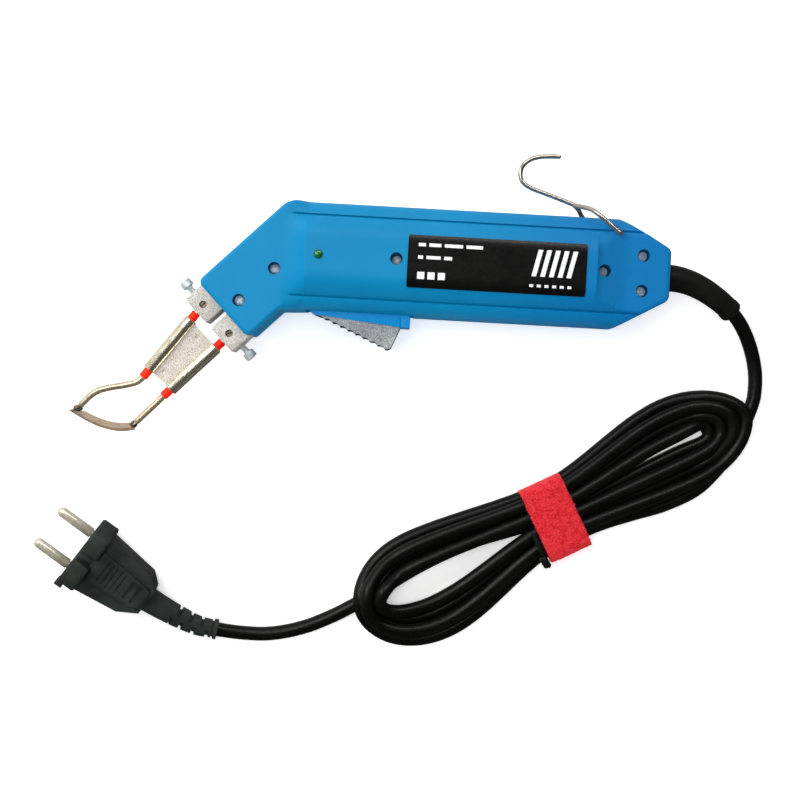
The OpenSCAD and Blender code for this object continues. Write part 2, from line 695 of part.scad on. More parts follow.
// Twist tie: a thin wire band over the lower run of the hank, with its twisted end beside it
module twist_tie() {
    color([0.05, 0.05, 0.05]) in_hank() {
        translate([-13.6, -20.5, hank_h]) cube([2.4, 16, 0.8]);
        translate([-13.6, -20.5, 5]) cube([2.4, 1.6, hank_h - 4.2]);
    }
}

// ---- plug ----
plug_angle = 143;
plug_tilt = 7;
plug_face = [-166.9, -141.4, 15.2];
disc_t = 9;
disc_h = 26;
plug_body_outline = [
    [disc_t - 1, -16.3], [30, -12.6], [39, -6.5], [39, 6.5], [33.5, 11.5], [disc_t - 1, 14.8]];
module in_plug() {
    translate(plug_face) rotate([0, 0, plug_angle]) rotate([0, -plug_tilt, 0])
        rotate([0, 0, 180]) children();
}
// Each pin is thinner where it is held in the plug, and its full diameter starts just off the face
pin_step = 0.5;
pin_root_d = 3.6;
module pin_shape(l0) {
    for (s = [-1, 1]) translate([0, s * plug_pitch / 2, 0]) rotate([0, -90, 0]) {
        translate([0, 0, -l0]) cylinder(d = pin_root_d, h = l0 + pin_step + 0.1);
        translate([0, 0, pin_step]) cylinder(d = plug_pin_d, h = plug_pin_l - 1 - pin_step);
        translate([0, 0, plug_pin_l - 1]) cylinder(d1 = plug_pin_d, d2 = plug_pin_d - 2, h = 1);
    }
}
module plug_pins() { color("silver") in_plug() pin_shape(disc_t - 2); }
relief_start = 38.5;
module plug_body() {
    color([0.06, 0.06, 0.06]) {
        in_plug() difference() {
            union() {
                intersection() {
                    rotate([0, 90, 0]) cylinder(d = plug_w, h = disc_t);
                    translate([-1, -plug_w, -disc_h / 2]) cube([disc_t + 2, 2 * plug_w, disc_h]);
                }
                translate([0, 0, -8.5]) linear_extrude(17) polygon(plug_body_outline);
            }
            for (s = [-1, 1]) translate([-1, -1.5, s > 0 ? 8 : -20]) cube([disc_t + 2, 3, 12]);
            pin_shape(disc_t - 2);
        }
        swept([[-137.5, -163.6, 10.6], [-131, -167, 9.6], [-120, -171.4, 7.6], [-110, -174.4, 5.9],
            [-101, -175.8, 4.6]], [6, 6, 5.4, 4.9, 4.4], 16);
    }
}

housing_lower();
housing_upper();
housing_screws();
rating_label();
indicator_lens();
lamp_board();
terminal_block_a();
terminal_block_b();
block_grub_screws();
clamp_screw_a();
clamp_screw_b();
tip_rod_upper();
tip_rod_lower();
blade();
sleeve_upper();
sleeve_lower();
tip_bracket();
trigger_carrier();
trigger_pad();
trigger_pin();
trigger_spring();
switch_body();
switch_plunger();
transformer_core();
transformer_coil();
secondary_bar_a();
secondary_bar_b();
inner_wires();
cord_clamp();
cord_clamp_screws();
strain_relief();
hanging_hook();
cord_lead();
cord_hank();
cord_tail();
cord_tie();
twist_tie();
plug_body();
plug_pins();
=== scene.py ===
# %% [markdown]
# # A hot knife for rope and fabric
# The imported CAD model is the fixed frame: it says where every piece is and what moves with what.
# Everything made here is a finer skin, a finish or a soft part placed around that frame, in metres.

# %% Load the frame
import math

import bmesh
import bpy
from mathutils import Matrix, Vector, noise


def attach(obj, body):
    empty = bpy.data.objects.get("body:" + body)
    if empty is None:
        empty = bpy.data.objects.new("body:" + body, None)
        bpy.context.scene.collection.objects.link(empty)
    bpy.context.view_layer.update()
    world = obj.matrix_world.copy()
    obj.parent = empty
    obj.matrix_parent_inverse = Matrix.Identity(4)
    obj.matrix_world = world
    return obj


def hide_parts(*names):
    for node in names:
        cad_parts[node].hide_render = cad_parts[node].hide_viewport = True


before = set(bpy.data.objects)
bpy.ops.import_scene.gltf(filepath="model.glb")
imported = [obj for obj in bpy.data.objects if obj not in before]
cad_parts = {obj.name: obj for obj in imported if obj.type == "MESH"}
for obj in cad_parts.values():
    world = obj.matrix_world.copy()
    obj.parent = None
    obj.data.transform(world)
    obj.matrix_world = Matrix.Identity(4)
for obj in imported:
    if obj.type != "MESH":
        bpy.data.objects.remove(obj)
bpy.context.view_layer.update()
mm = 0.001
to_metres = Matrix.Diagonal((mm, mm, mm, 1))

# %% [markdown]
# ## Camera and light
# The camera looks straight down through a moderate lens. Five soft lights stand round the table and
# above it. They light the surfaces but leave no reflection of their own, so plastic isn't blown out.
# Two narrow strips and the world give metal and cord their reflections. The view transform is the
# plain one, so white stays white.

# %% Camera
camera_data = bpy.data.cameras.new("camera")
camera_data.sensor_width = 36
camera_data.lens = 58.7
camera = bpy.data.objects.new("camera", camera_data)
camera.location = (-0.0209, -0.0630, 0.620)
camera.rotation_euler = (0, 0, math.radians(3.2))
bpy.context.scene.collection.objects.link(camera)
bpy.context.scene.camera = camera
bpy.context.scene.view_settings.view_transform = "Standard"
print("camera height:", camera.location.z)


# %% Lights and floor
def area_light(name, place, aim, size, power, tint=(1.0, 1.0, 1.0), shows=True, lights=True):
    data = bpy.data.lights.new(name, "AREA")
    data.shape = "RECTANGLE"
    data.size, data.size_y = size
    data.energy = power
    data.color = tint
    light = bpy.data.objects.new(name, data)
    light.location = place
    light.visible_glossy = shows
    light.visible_diffuse = lights
    light.rotation_euler = (Vector(aim) - Vector(place)).to_track_quat("-Z", "Y").to_euler()
    bpy.context.scene.collection.objects.link(light)


area_light("key", (-0.62, 0.34, 0.46), (-0.12, -0.02, 0), (0.5, 0.4), 5.4, (1.0, 0.99, 0.97), shows=False)
area_light("overhead", (-0.14, -0.03, 0.8), (-0.1, -0.03, 0), (0.4, 0.3), 2.35, shows=False)
area_light("back", (0.1, 0.95, 0.5), (0, 0, 0), (1.1, 0.4), 2.0, shows=False)
area_light("fill_right", (0.85, -0.1, 0.6), (0.05, -0.1, 0), (0.5, 0.9), 2.1, shows=False)
area_light("fill_front", (0.0, -0.95, 0.6), (0, -0.05, 0), (1.1, 0.45), 4.1, shows=False)
# Two strips draw thin bright lines on cords and round metal, and light nothing else
area_light("glint_left", (-0.45, 0.26, 0.72), (-0.05, -0.06, 0), (0.1, 0.8), 3.0, lights=False)
area_light("glint_back", (0.1, 0.5, 0.75), (0.05, 0, 0), (0.9, 0.08), 3.2, lights=False)

# Reflections see a bright wall to the back left and a dark one to the front right, so that round metal
# gets a light side and a dark side; the camera itself sees plain grey around the floor
world = bpy.data.worlds.new("studio")
world.use_nodes = True
nodes, links = world.node_tree.nodes, world.node_tree.links
side = nodes.new("ShaderNodeVectorMath")
side.operation = "DOT_PRODUCT"
links.new(nodes.new("ShaderNodeTexCoord").outputs["Generated"], side.inputs[0])
side.inputs[1].default_value = Vector((-0.62, 0.78, 0.06)).normalized()
spread = nodes.new("ShaderNodeMapRange")
spread.inputs["From Min"].default_value = -1.0
links.new(side.outputs["Value"], spread.inputs["Value"])
walls = nodes.new("ShaderNodeValToRGB")
grey_stops = ((0.0, 0.12), (0.1, 0.04), (0.38, 0.05), (0.56, 0.2), (0.72, 0.45), (0.88, 0.72), (1.0, 0.8))
while len(walls.color_ramp.elements) < len(grey_stops):
    walls.color_ramp.elements.new(0.5)
for element, (place, grey) in zip(walls.color_ramp.elements, grey_stops):
    element.position = place
    element.color = (grey, grey * 0.985, grey * 0.96, 1)
links.new(spread.outputs["Result"], walls.inputs["Fac"])
seen = nodes.new("ShaderNodeMix")
seen.data_type = "RGBA"
links.new(nodes.new("ShaderNodeLightPath").outputs["Is Camera Ray"], seen.inputs["Factor"])
links.new(walls.outputs["Color"], seen.inputs[6])
seen.inputs[7].default_value = (0.75, 0.76, 0.78, 1)
links.new(seen.outputs[2], nodes["Background"].inputs["Color"])
nodes["Background"].inputs["Strength"].default_value = 1.0
bpy.context.scene.world = world

floor_mesh = bpy.data.meshes.new("floor")
floor_mesh.from_pydata([(-3, -3, 0), (3, -3, 0), (3, 3, 0), (-3, 3, 0)], [], [(0, 1, 2, 3)])
floor = bpy.data.objects.new("floor", floor_mesh)
bpy.context.scene.collection.objects.link(floor)
floor_finish = bpy.data.materials.new("floor_paper")
floor_finish.use_nodes = True
paper = floor_finish.node_tree.nodes["Principled BSDF"].inputs
paper["Base Color"].default_value = (0.92, 0.92, 0.92, 1)
paper["Roughness"].default_value = 0.9
paper["Specular IOR Level"].default_value = 0.1
# The paper glows a little, as on a light table, so shadows on it stay faint
paper["Emission Color"].default_value = (1, 1, 1, 1)
paper["Emission Strength"].default_value = 0.4
floor.data.materials.append(floor_finish)
floor.visible_glossy = False

# %% [markdown]
# ## Small tools for meshes
# Most pieces are built from lists of points. These helpers turn points and faces into an object at
# the origin with its place in its mesh, sweep a round section along a path, and finish a mesh with
# modifiers that are applied at once, so nothing live is left on a piece.


# %% Mesh helpers
def link(name, mesh):
    piece = bpy.data.objects.new(name, mesh)
    bpy.context.scene.collection.objects.link(piece)
    return piece


def make_mesh(name, verts, faces, smooth=True):
    mesh = bpy.data.meshes.new(name)
    mesh.from_pydata([tuple(v) for v in verts], [], faces)
    tidy_mesh(mesh)
    if smooth:
        mesh.shade_smooth()
    return link(name, mesh)


def tidy_mesh(mesh):
    """Merges doubles and turns the faces outwards."""
    bm = bmesh.new()
    bm.from_mesh(mesh)
    bmesh.ops.remove_doubles(bm, verts=bm.verts, dist=1e-7)
    bmesh.ops.recalc_face_normals(bm, faces=bm.faces)
    bm.to_mesh(mesh)
    bm.free()


def bake_modifiers(piece):
    """Replaces a piece's mesh by what its modifiers make of it."""
    graph = bpy.context.evaluated_depsgraph_get()
    mesh = bpy.data.meshes.new_from_object(piece.evaluated_get(graph))
    old = piece.data
    piece.modifiers.clear()
    piece.data = mesh
    bpy.data.meshes.remove(old)
    return piece


def bevelled(piece, width, segments=3, angle=35):
    mod = piece.modifiers.new("bevel", "BEVEL")
    mod.width = width
    mod.segments = segments
    mod.limit_method = "ANGLE"
    mod.angle_limit = math.radians(angle)
    mod.harden_normals = False
    bake_modifiers(piece)
    shade_by_angle(piece)
    return piece


def shade_by_angle(piece, angle=38):
    """Smooth shading with sharp edges kept where two faces meet at more than the angle."""
    bm = bmesh.new()
    bm.from_mesh(piece.data)
    limit = math.radians(angle)
    for face in bm.faces:
        face.smooth = True
    for edge in bm.edges:
        edge.smooth = len(edge.link_faces) == 2 and edge.calc_face_angle(0) < limit
    bm.to_mesh(piece.data)
    bm.free()


def cut(piece, tool, operation="DIFFERENCE"):
    """Cuts (or joins) a closed piece with another, then removes the tool."""
    mod = piece.modifiers.new("cut", "BOOLEAN")
    mod.operation = operation
    mod.solver = "EXACT"
    mod.object = tool
    bake_modifiers(piece)
    bpy.data.objects.remove(tool)
    return piece


def join(name, pieces):
    """One object from several, all of them at the origin."""
    bm = bmesh.new()
    for piece in pieces:
        bm.from_mesh(piece.data)
    mesh = bpy.data.meshes.new(name)
    bm.to_mesh(mesh)
    bm.free()
    for piece in pieces:
        bpy.data.objects.remove(piece)
    return link(name, mesh)


def lathe(name, profile, place, axis, steps=48):
    """A turned part: profile points are (radius, distance along the axis)."""
    turn = Vector(axis).normalized().to_track_quat("Z", "Y").to_matrix()
    verts, faces = [], []
    for k in range(steps):
        a = 2 * math.pi * k / steps
        for r, h in profile:
            verts.append(Vector(place) + turn @ Vector((r * math.cos(a), r * math.sin(a), h)))
    n = len(profile)
    for k in range(steps):
        j = (k + 1) % steps
        for i in range(n - 1):
            faces.append((k * n + i, k * n + i + 1, j * n + i + 1, j * n + i))
    bottom = [k * n for k in range(steps)]
    top = [k * n + n - 1 for k in range(steps)]
    faces.append(bottom)
    faces.append(top[::-1])
    piece = make_mesh(name, verts, faces)
    shade_by_angle(piece)
    return piece


def extrude(name, outline, z0, z1):
    """A closed slab from a flat outline of (x, y) points."""
    n = len(outline)
    verts = [(x, y, z0) for x, y in outline] + [(x, y, z1) for x, y in outline]
    faces = [list(range(n))[::-1], list(range(n, 2 * n))]
    faces += [(i, (i + 1) % n, n + (i + 1) % n, n + i) for i in range(n)]
    return make_mesh(name, verts, faces, smooth=False)


def box(name, low, high):
    outline = [(low[0], low[1]), (high[0], low[1]), (high[0], high[1]), (low[0], high[1])]
    return extrude(name, outline, low[2], high[2])


def moved(piece, matrix):
    piece.data.transform(matrix)
    if matrix.determinant() < 0:
        piece.data.flip_normals()
    return piece


# %% Path helpers
def catmull(points, step):
    """Points about one step apart on a smooth curve through the given ones."""
    pts = [Vector(p) for p in points]
    out = []
    for i in range(len(pts) - 1):
        a, b = pts[max(i - 1, 0)], pts[i]
        c, d = pts[i + 1], pts[min(i + 2, len(pts) - 1)]
        parts = max(2, round((c - b).length / step))
        for k in range(parts):
            u = k / parts
            out.append(0.5 * (2 * b + (c - a) * u + (2 * a - 5 * b + 4 * c - d) * u * u
                              + (3 * b - a - 3 * c + d) * u ** 3))
    out.append(pts[-1])
    return out


def path_length(points):
    return sum((b - a).length for a, b in zip(points, points[1:]))


def tube_mesh(name, path, radii, sides=16, closed_ends=True):
    """A round section swept along a path, one radius per point."""
    verts, faces = [], []
    normal = None
    for i, p in enumerate(path):
        d = (path[min(i + 1, len(path) - 1)] - path[max(i - 1, 0)]).normalized()
        if normal is None:
            normal = d.orthogonal().normalized()
        normal = (normal - d * normal.dot(d)).normalized()
        other = d.cross(normal)
        for k in range(sides):
            a = 2 * math.pi * k / sides
            verts.append(p + radii[i] * (math.cos(a) * normal + math.sin(a) * other))
    for i in range(len(path) - 1):
        for k in range(sides):
            j = (k + 1) % sides
            faces.append((i * sides + k, i * sides + j, (i + 1) * sides + j, (i + 1) * sides + k))
    if closed_ends:
        faces.append(list(range(sides))[::-1])
        last = (len(path) - 1) * sides
        faces.append([last + k for k in range(sides)])
    piece = make_mesh(name, verts, faces)
    shade_by_angle(piece)
    return piece


def smoothstep(u):
    u = min(max(u, 0.0), 1.0)
    return u * u * (3 - 2 * u)


def mix(a, b, u):
    return a + (b - a) * u


# %% [markdown]
# ## The mains cord
# The cord is one 6.5 mm two-core rubber flex. It leaves the rubber sleeve, drops to the table, runs
# under the end of its own hank, is wound eight half-turns up and down through a tie, and runs out to
# the plug. The free stretches are listed points. The turns follow a rule: each lane has its
# own distance from the middle at the tie and at the two ends, so a loop works them all out.

# %% Cord route
cord_r = 3.25 * mm
hank_centre = Vector((54, -113, 0))
hank_turn = Matrix.Rotation(math.radians(28), 3, "Z")

lead_points = [(131, -13.8, 13), (134, -16.5, 11.2), (137.5, -20.5, 8.6), (140.8, -25.5, 5.9),
               (143.4, -31, 4.2), (145.2, -37, 3.5), (146.2, -43, 3.3), (146.2, -50, 3.3),
               (145, -57, 3.3)]
tail_points = [(-41, -163.2, 3.3), (-49, -167.6, 3.3), (-58, -171.8, 3.3), (-68, -175, 3.3),
               (-78, -176.8, 3.3), (-88, -177, 3.3), (-95, -176.5, 3.9), (-101, -175.8, 4.6)]

low_z = 3.3
high_z = 9.3
tie_z = 4.5  # the strap passes under the strands here
station = 68
# Per lane from the outside in: places across the bundle under the tie, then out at the loops
tie_lower = [(-13, tie_z), (-9.75, high_z), (-6.5, tie_z), (-3.25, high_z)]
tie_upper = [(13, tie_z), (9.75, high_z), (6.5, tie_z), (3.25, high_z)]
tie_return = [(-9.75, high_z), (-6.5, tie_z), (-3.25, high_z), (0, tie_z)]
left_lower = [(-29, low_z), (-23.8, 7.8), (-18.6, low_z), (-13.4, 7.8)]
left_end = [(-100.7, low_z), (-97.4, 8.9), (-94.2, low_z), (-91, 8.9)]
left_upper = [(18.4, low_z), (14.2, high_z), (10.4, low_z), (5.8, 9.7)]
right_upper = [(25, low_z), (20, 7.2), (14.8, low_z), (9.6, 7.2)]
right_end = [(101, 9.8), (94.6, 9.8), (89.1, 6.6), (83.5, low_z)]
right_lower = [(-13.4, 7.4), (-8.4, low_z), (-3.4, 7.4), (1.6, low_z)]
# How round each lane's right-hand turn is: see turn()
right_shape = [(1.2, 1.0), (1.0, 0.85), (0.85, 0.7), (0.8, 0.55, 0.5)]


def hank(u, v, z):
    """A point given along and across the hank."""
    return hank_centre + hank_turn @ Vector((u, v, 0)) + Vector((0, 0, z))


def straight_pass(near, far, sign):
    """From the tie (near) out to the loop's start (far)."""
    out = []
    for u in (12, 24, 36, 48, 58):
        s = smoothstep(u / station)
        out.append((sign * u, mix(near[0], far[0], s), mix(near[1], far[1], s)))
    return out


def turn(start, end, finish, sign, shape, tip=1.0, bulge=0.0):
    """Half an oval round the end of the hank, from one side to the other.

    A lower tip rounds the end of a narrow loop off, and a bulge opens it a little there."""
    middle = (start[0] + finish[0]) / 2
    half = (start[0] - finish[0]) / 2
    out = []
    for k in range(11):
        angle = math.radians(90 - 18 * k)
        c, s = max(math.cos(angle), 0.0), math.sin(angle)
        v = middle + half * (1 + bulge * c) * math.copysign(abs(s) ** shape, s)
        z = mix(start[1], end[1], smoothstep(c)) if k < 5 else mix(finish[1], end[1], smoothstep(c))
        out.append((sign * station + (end[0] - sign * station) * c ** tip, v, z))
    return out


tail_height = 6.5


def over_tail(point):
    """The left loops rise in a long low hump over the tail that leaves under them."""
    u, v, z = point
    rise = tail_height * smoothstep((-u - 76) / 12) * math.exp(-((v - 1.5) / 8.5) ** 2)
    return (u, v, z + rise)


hank_points = [(91, -7, low_z), (79, -13.5, low_z), (66, -17.8, low_z), (50, -18, low_z),
               (34, -15.6, low_z), (18, -13.4, low_z + 0.8)]
for lane in range(4):
    hank_points.append((0, *tie_lower[lane]))
    hank_points += straight_pass(tie_lower[lane], left_lower[lane], -1)
    left = turn(left_lower[lane], left_end[lane], left_upper[lane], -1, 1.0)
    hank_points += [over_tail(p) for p in left]
    hank_points += straight_pass(tie_upper[lane], left_upper[lane], -1)[::-1]
    hank_points.append((0, *tie_upper[lane]))
    hank_points += straight_pass(tie_upper[lane], right_upper[lane], 1)
    hank_points += turn(right_upper[lane], right_end[lane], right_lower[lane], 1, *right_shape[lane])
    hank_points += straight_pass(tie_return[lane], right_lower[lane], 1)[::-1]
hank_points += [(0, 0, tie_z), (-12, 0.4, tie_z - 0.1), (-24, 2, low_z), (-38, 4, low_z),
                (-54, 4.6, low_z), (-68, 4.2, low_z), (-80, 3, low_z), (-91, 1.4, low_z)]

route = [Vector(p) for p in lead_points] + [hank(*p) for p in hank_points] + [Vector(p) for p in tail_points]
cord_path = [p * mm for p in catmull(route, 3.0)]
for p in cord_path:
    p.z = max(p.z, cord_r)

# %% Cord curve
cord_curve = bpy.data.curves.new("mains_cord", "CURVE")
cord_curve.dimensions = "3D"
cord_curve.bevel_depth = cord_r
cord_curve.bevel_resolution = 6
cord_curve.use_fill_caps = True
spline = cord_curve.splines.new("POLY")
spline.points.add(len(cord_path) - 1)
for point, place in zip(spline.points, cord_path):
    point.co = (*place, 1)
spline.use_smooth = True
mains_cord = bpy.data.objects.new("mains_cord", cord_curve)
bpy.context.scene.collection.objects.link(mains_cord)

# %% [markdown]
# ## Finishes
# Every finish is a node tree on Object coordinates. Each one mixes a base colour with a lighter and a
# darker one by noise, varies the roughness, and adds a fine bump at the scale of the real surface:
# spark-eroded plastic, cast nickel, drawn wire, woven loops. One small class keeps the trees short.


# %% Finish builder
def colour(r, g, b):
    """A linear colour from the usual 0 to 255 values."""
    def linear(c):
        c /= 255
        return c / 12.92 if c <= 0.04045 else ((c + 0.055) / 1.055) ** 2.4
    return (linear(r), linear(g), linear(b), 1)


class Finish:
    """A material under construction."""

    def __init__(self, name, metallic=0.0, coat=0.0, specular=0.5):
        self.material = bpy.data.materials.new(name)
        self.material.use_nodes = True
        self.tree = self.material.node_tree
        self.shader = self.tree.nodes["Principled BSDF"]
        self.set("Metallic", metallic)
        self.set("Coat Weight", coat)
        self.set("Specular IOR Level", specular)
        self.coords = self.add("ShaderNodeTexCoord").outputs["Object"]

    def add(self, kind, **settings):
        node = self.tree.nodes.new(kind)
        for key, value in settings.items():
            setattr(node, key, value)
        return node

    def set(self, socket, value):
        self.shader.inputs[socket].default_value = value

    def join(self, output, target):
        self.tree.links.new(output, target)

    def stretched(self, stretch, turn=0.0):
        """Object coordinates squeezed along an axis, for brushed and drawn surfaces."""
        mapping = self.add("ShaderNodeMapping", vector_type="POINT")
        mapping.inputs["Rotation"].default_value = (0, 0, turn)
        mapping.inputs["Scale"].default_value = stretch
        self.join(self.coords, mapping.inputs["Vector"])
        return mapping.outputs["Vector"]

    def noise(self, scale, detail=3.0, rough=0.6, vector=None):
        node = self.add("ShaderNodeTexNoise")
        node.inputs["Scale"].default_value = scale
        node.inputs["Detail"].default_value = detail
        node.inputs["Roughness"].default_value = rough
        self.join(vector or self.coords, node.inputs["Vector"])
        return node.outputs["Fac"]

    def along_x(self):
        split = self.add("ShaderNodeSeparateXYZ")
        self.join(self.coords, split.inputs[0])
        return split.outputs["X"]

    def cells(self, scale, feature="F1"):
        node = self.add("ShaderNodeTexVoronoi", feature=feature)
        node.inputs["Scale"].default_value = scale
        self.join(self.coords, node.inputs["Vector"])
        return node.outputs["Distance"]

    def stepped(self, value, low, high, out_low=0.0, out_high=1.0):
        node = self.add("ShaderNodeMapRange", interpolation_type="SMOOTHSTEP")
        for socket, number in (("From Min", low), ("From Max", high), ("To Min", out_low),
                               ("To Max", out_high)):
            node.inputs[socket].default_value = number
        self.join(value, node.inputs["Value"])
        return node.outputs["Result"]

    def ramp(self, value, stops):
        node = self.add("ShaderNodeValToRGB")
        while len(node.color_ramp.elements) < len(stops):
            node.color_ramp.elements.new(0.5)
        for element, (place, tint) in zip(node.color_ramp.elements, stops):
            element.position = place
            element.color = tint
        self.join(value, node.inputs["Fac"])
        return node.outputs["Color"]

    def mixed(self, factor, a, b, blend="MIX"):
        """Two colours mixed; each is an output or a plain colour."""
        node = self.add("ShaderNodeMix", data_type="RGBA", blend_type=blend)
        if isinstance(factor, float):
            node.inputs["Factor"].default_value = factor
        else:
            self.join(factor, node.inputs["Factor"])
        for side, socket in ((a, node.inputs[6]), (b, node.inputs[7])):
            if isinstance(side, tuple):
                socket.default_value = side
            else:
                self.join(side, socket)
        return node.outputs[2]

    def paint(self, output):
        self.join(output, self.shader.inputs["Base Color"])

    def roughen(self, value, low, high):
        self.join(self.stepped(value, 0.3, 0.7, low, high), self.shader.inputs["Roughness"])

    def bump(self, *layers):
        """Bumps stacked in order: (height output, depth in metres)."""
        last = None
        for height, depth in layers:
            node = self.add("ShaderNodeBump")
            node.inputs["Strength"].default_value = 1.0
            node.inputs["Distance"].default_value = depth
            self.join(height, node.inputs["Height"])
            if last:
                self.join(last, node.inputs["Normal"])
            last = node.outputs["Normal"]
        self.join(last, self.shader.inputs["Normal"])


# %% Moulded plastics and rubber
def moulded_plastic(name, base, dark, light, rough=(0.42, 0.55), grain=5200, depth=0.000012, specular=0.16,
                    rear=None):
    """Plastic from a spark-eroded mould: a fine even grain with slow cloudy changes of colour."""
    f = Finish(name, specular=specular)
    cloud = f.noise(16, 3)
    fine = f.noise(grain, 2)
    tone = f.ramp(cloud, [(0.3, dark), (0.5, base), (0.72, light)])
    # Painted shade: a given rear colour fades in along x from -0.02 to 0.09 m and darkens the back of the
    # case, where less light falls
    if rear:
        tone = f.mixed(f.stepped(f.along_x(), -0.02, 0.09), tone, rear)
    f.paint(f.mixed(f.stepped(fine, 0.55, 0.75, 0.0, 0.35), tone, light))
    f.roughen(f.noise(900, 3), *rough)
    f.bump((fine, depth), (f.noise(260, 2), depth * 1.6))
    return f.material


def black_rubber(name, base=(17, 18, 19), rough=(0.36, 0.5), shine=0.14, dust_share=0.12):
    f = Finish(name, specular=shine)
    dust = f.noise(2600, 3)
    tone = f.ramp(f.noise(70, 4), [(0.3, colour(*[c * 0.7 for c in base])),
                                   (0.7, colour(*[c * 1.35 for c in base]))])
    f.paint(f.mixed(f.stepped(dust, 0.62, 0.8, 0.0, dust_share), tone, colour(90, 92, 94)))
    f.roughen(f.noise(420, 3), *rough)
    f.bump((f.noise(1900, 3), 0.000006), (f.noise(180, 2), 0.00001))
    return f.material


# The housing's rear colour is painted shade: its blue darkens towards the back of the case
blue_housing_finish = moulded_plastic("blue_housing", colour(0, 124, 174), colour(0, 119, 169),
                                      colour(4, 130, 180), rear=colour(0, 108, 170))
blue_trigger_finish = moulded_plastic("blue_trigger", colour(8, 130, 196), colour(6, 122, 188),
                                      colour(22, 142, 204),
                                      rough=(0.25, 0.4), depth=0.000006)
cord_finish = black_rubber("cord_rubber", (9, 9, 8), (0.26, 0.34), 0.16, 0.02)
boot_finish = black_rubber("boot_rubber", (16, 17, 14), (0.4, 0.55), 0.12)
plug_finish = black_rubber("plug_plastic", (33, 37, 35), (0.42, 0.6), 0.2, 0.3)
inner_plastic_finish = moulded_plastic("inner_plastic", colour(30, 30, 32), colour(18, 18, 20),
                                       colour(48, 48, 50))
red_plastic_finish = moulded_plastic("plunger_plastic", colour(190, 45, 30), colour(150, 30, 22),
                                     colour(215, 70, 50))
red_sleeve_finish = moulded_plastic("sleeve_red", colour(240, 32, 8), colour(215, 18, 4), colour(252, 58, 22),
                                    rough=(0.35, 0.5), depth=0.00002)
print("plastics and rubbers ready")


# %% Metals
def metal(name, base, dark, light, rough=(0.18, 0.34), grain=None, pits=0.0, metallic=1.0, turn=0.0,
          grain_scale=900, spot_scale=2300, depth=0.000004):
    """Metal with slow tints, a direction of drawing if grain is given, and dark pits."""
    f = Finish(name, metallic=metallic)
    lines = f.noise(grain_scale, 3, 0.6, f.stretched(grain, turn)) if grain else f.noise(grain_scale, 3)
    tone = f.ramp(f.noise(160, 3), [(0.25, dark if not pits else base), (0.5, base), (0.75, light)])
    tone = f.mixed(f.stepped(lines, 0.35, 0.7, 0.0, 0.45), tone, light)
    if pits:
        spots = f.noise(spot_scale, 3, 0.8)
        tone = f.mixed(f.stepped(spots, 0.5, 0.57, 0.0, pits), tone, dark)
    f.paint(tone)
    f.roughen(lines, *rough)
    f.bump((lines, depth), (f.noise(spot_scale, 2), 0.00002 if pits else 0.000002))
    return f.material


zinc_finish = metal("zinc_plate", colour(176, 190, 192), colour(120, 134, 140), colour(214, 224, 224),
                    (0.3, 0.45), metallic=0.35)
case_screw_finish = metal("blue_zinc", colour(196, 214, 226), colour(120, 140, 166), colour(232, 240, 246),
                          (0.3, 0.45),
                          metallic=0.25)
block_finish = metal("cast_nickel", colour(196, 191, 183), colour(70, 58, 50), colour(230, 226, 220),
                     (0.5, 0.65), pits=0.8, metallic=0.2, spot_scale=2000)
barrel_finish = metal("rolled_nickel", colour(238, 228, 204), colour(212, 196, 164), colour(248, 242, 226),
                      (0.1, 0.18), grain=(1, 0.12, 1), turn=math.radians(45), grain_scale=1500, metallic=0.93)
web_finish = metal("web_nickel", colour(200, 192, 180), colour(84, 70, 58), colour(232, 227, 218),
                   (0.45, 0.6), pits=0.7, metallic=0.2, spot_scale=1900)
rod_finish = metal("drawn_nickel", colour(204, 188, 156), colour(172, 152, 120), colour(222, 210, 184),
                   (0.24, 0.34), grain=(1, 0.2, 1), turn=math.radians(30), grain_scale=1300, metallic=0.8)
grub_finish = metal("grub_steel", colour(92, 78, 62), colour(40, 32, 26), colour(176, 162, 136), (0.3, 0.45),
                     grain_scale=900, metallic=0.6)
weld_finish = metal("burnt_weld", colour(96, 84, 70), colour(44, 38, 34), colour(170, 160, 140), (0.3, 0.5),
                    grain_scale=500)
chrome_finish = metal("chrome_wire", colour(188, 180, 170), colour(150, 142, 132), colour(206, 200, 192),
                      (0.08, 0.16), grain_scale=700, metallic=0.9)
pin_finish = metal("pin_nickel", colour(214, 206, 184), colour(190, 180, 154), colour(232, 226, 208),
                   (0.16, 0.28), grain=(1, 0.15, 1), turn=math.radians(-37), grain_scale=1400, metallic=0.6)
core_finish = metal("core_steel", colour(98, 100, 104), colour(60, 62, 66), colour(130, 132, 136), (0.4, 0.6),
                    grain=(1, 1, 0.04), grain_scale=1100, metallic=0.85)
copper_finish = metal("copper_wire", colour(196, 112, 62), colour(150, 78, 40), colour(226, 150, 96),
                      (0.2, 0.36),
                      grain=(1, 1, 0.05), grain_scale=1700)


def blade_steel():
    """Heat-tinted strip: brownish straw in slow patches, and cross-ground along its edge."""
    f = Finish("blade_steel", metallic=0.4)
    tint = f.ramp(f.noise(95, 3), [(0.3, colour(132, 110, 92)), (0.5, colour(152, 132, 112)),
                                   (0.72, colour(178, 160, 138))])
    scratches = f.noise(1500, 3, 0.7, f.stretched((0.25, 1, 1), math.radians(18)))
    f.paint(f.mixed(f.stepped(scratches, 0.4, 0.7, 0.0, 0.35), tint, colour(196, 182, 160)))
    f.roughen(scratches, 0.3, 0.48)
    f.bump((scratches, 0.000015), (f.noise(240, 2), 0.00004))
    return f.material


blade_finish = blade_steel()
print("metals ready")


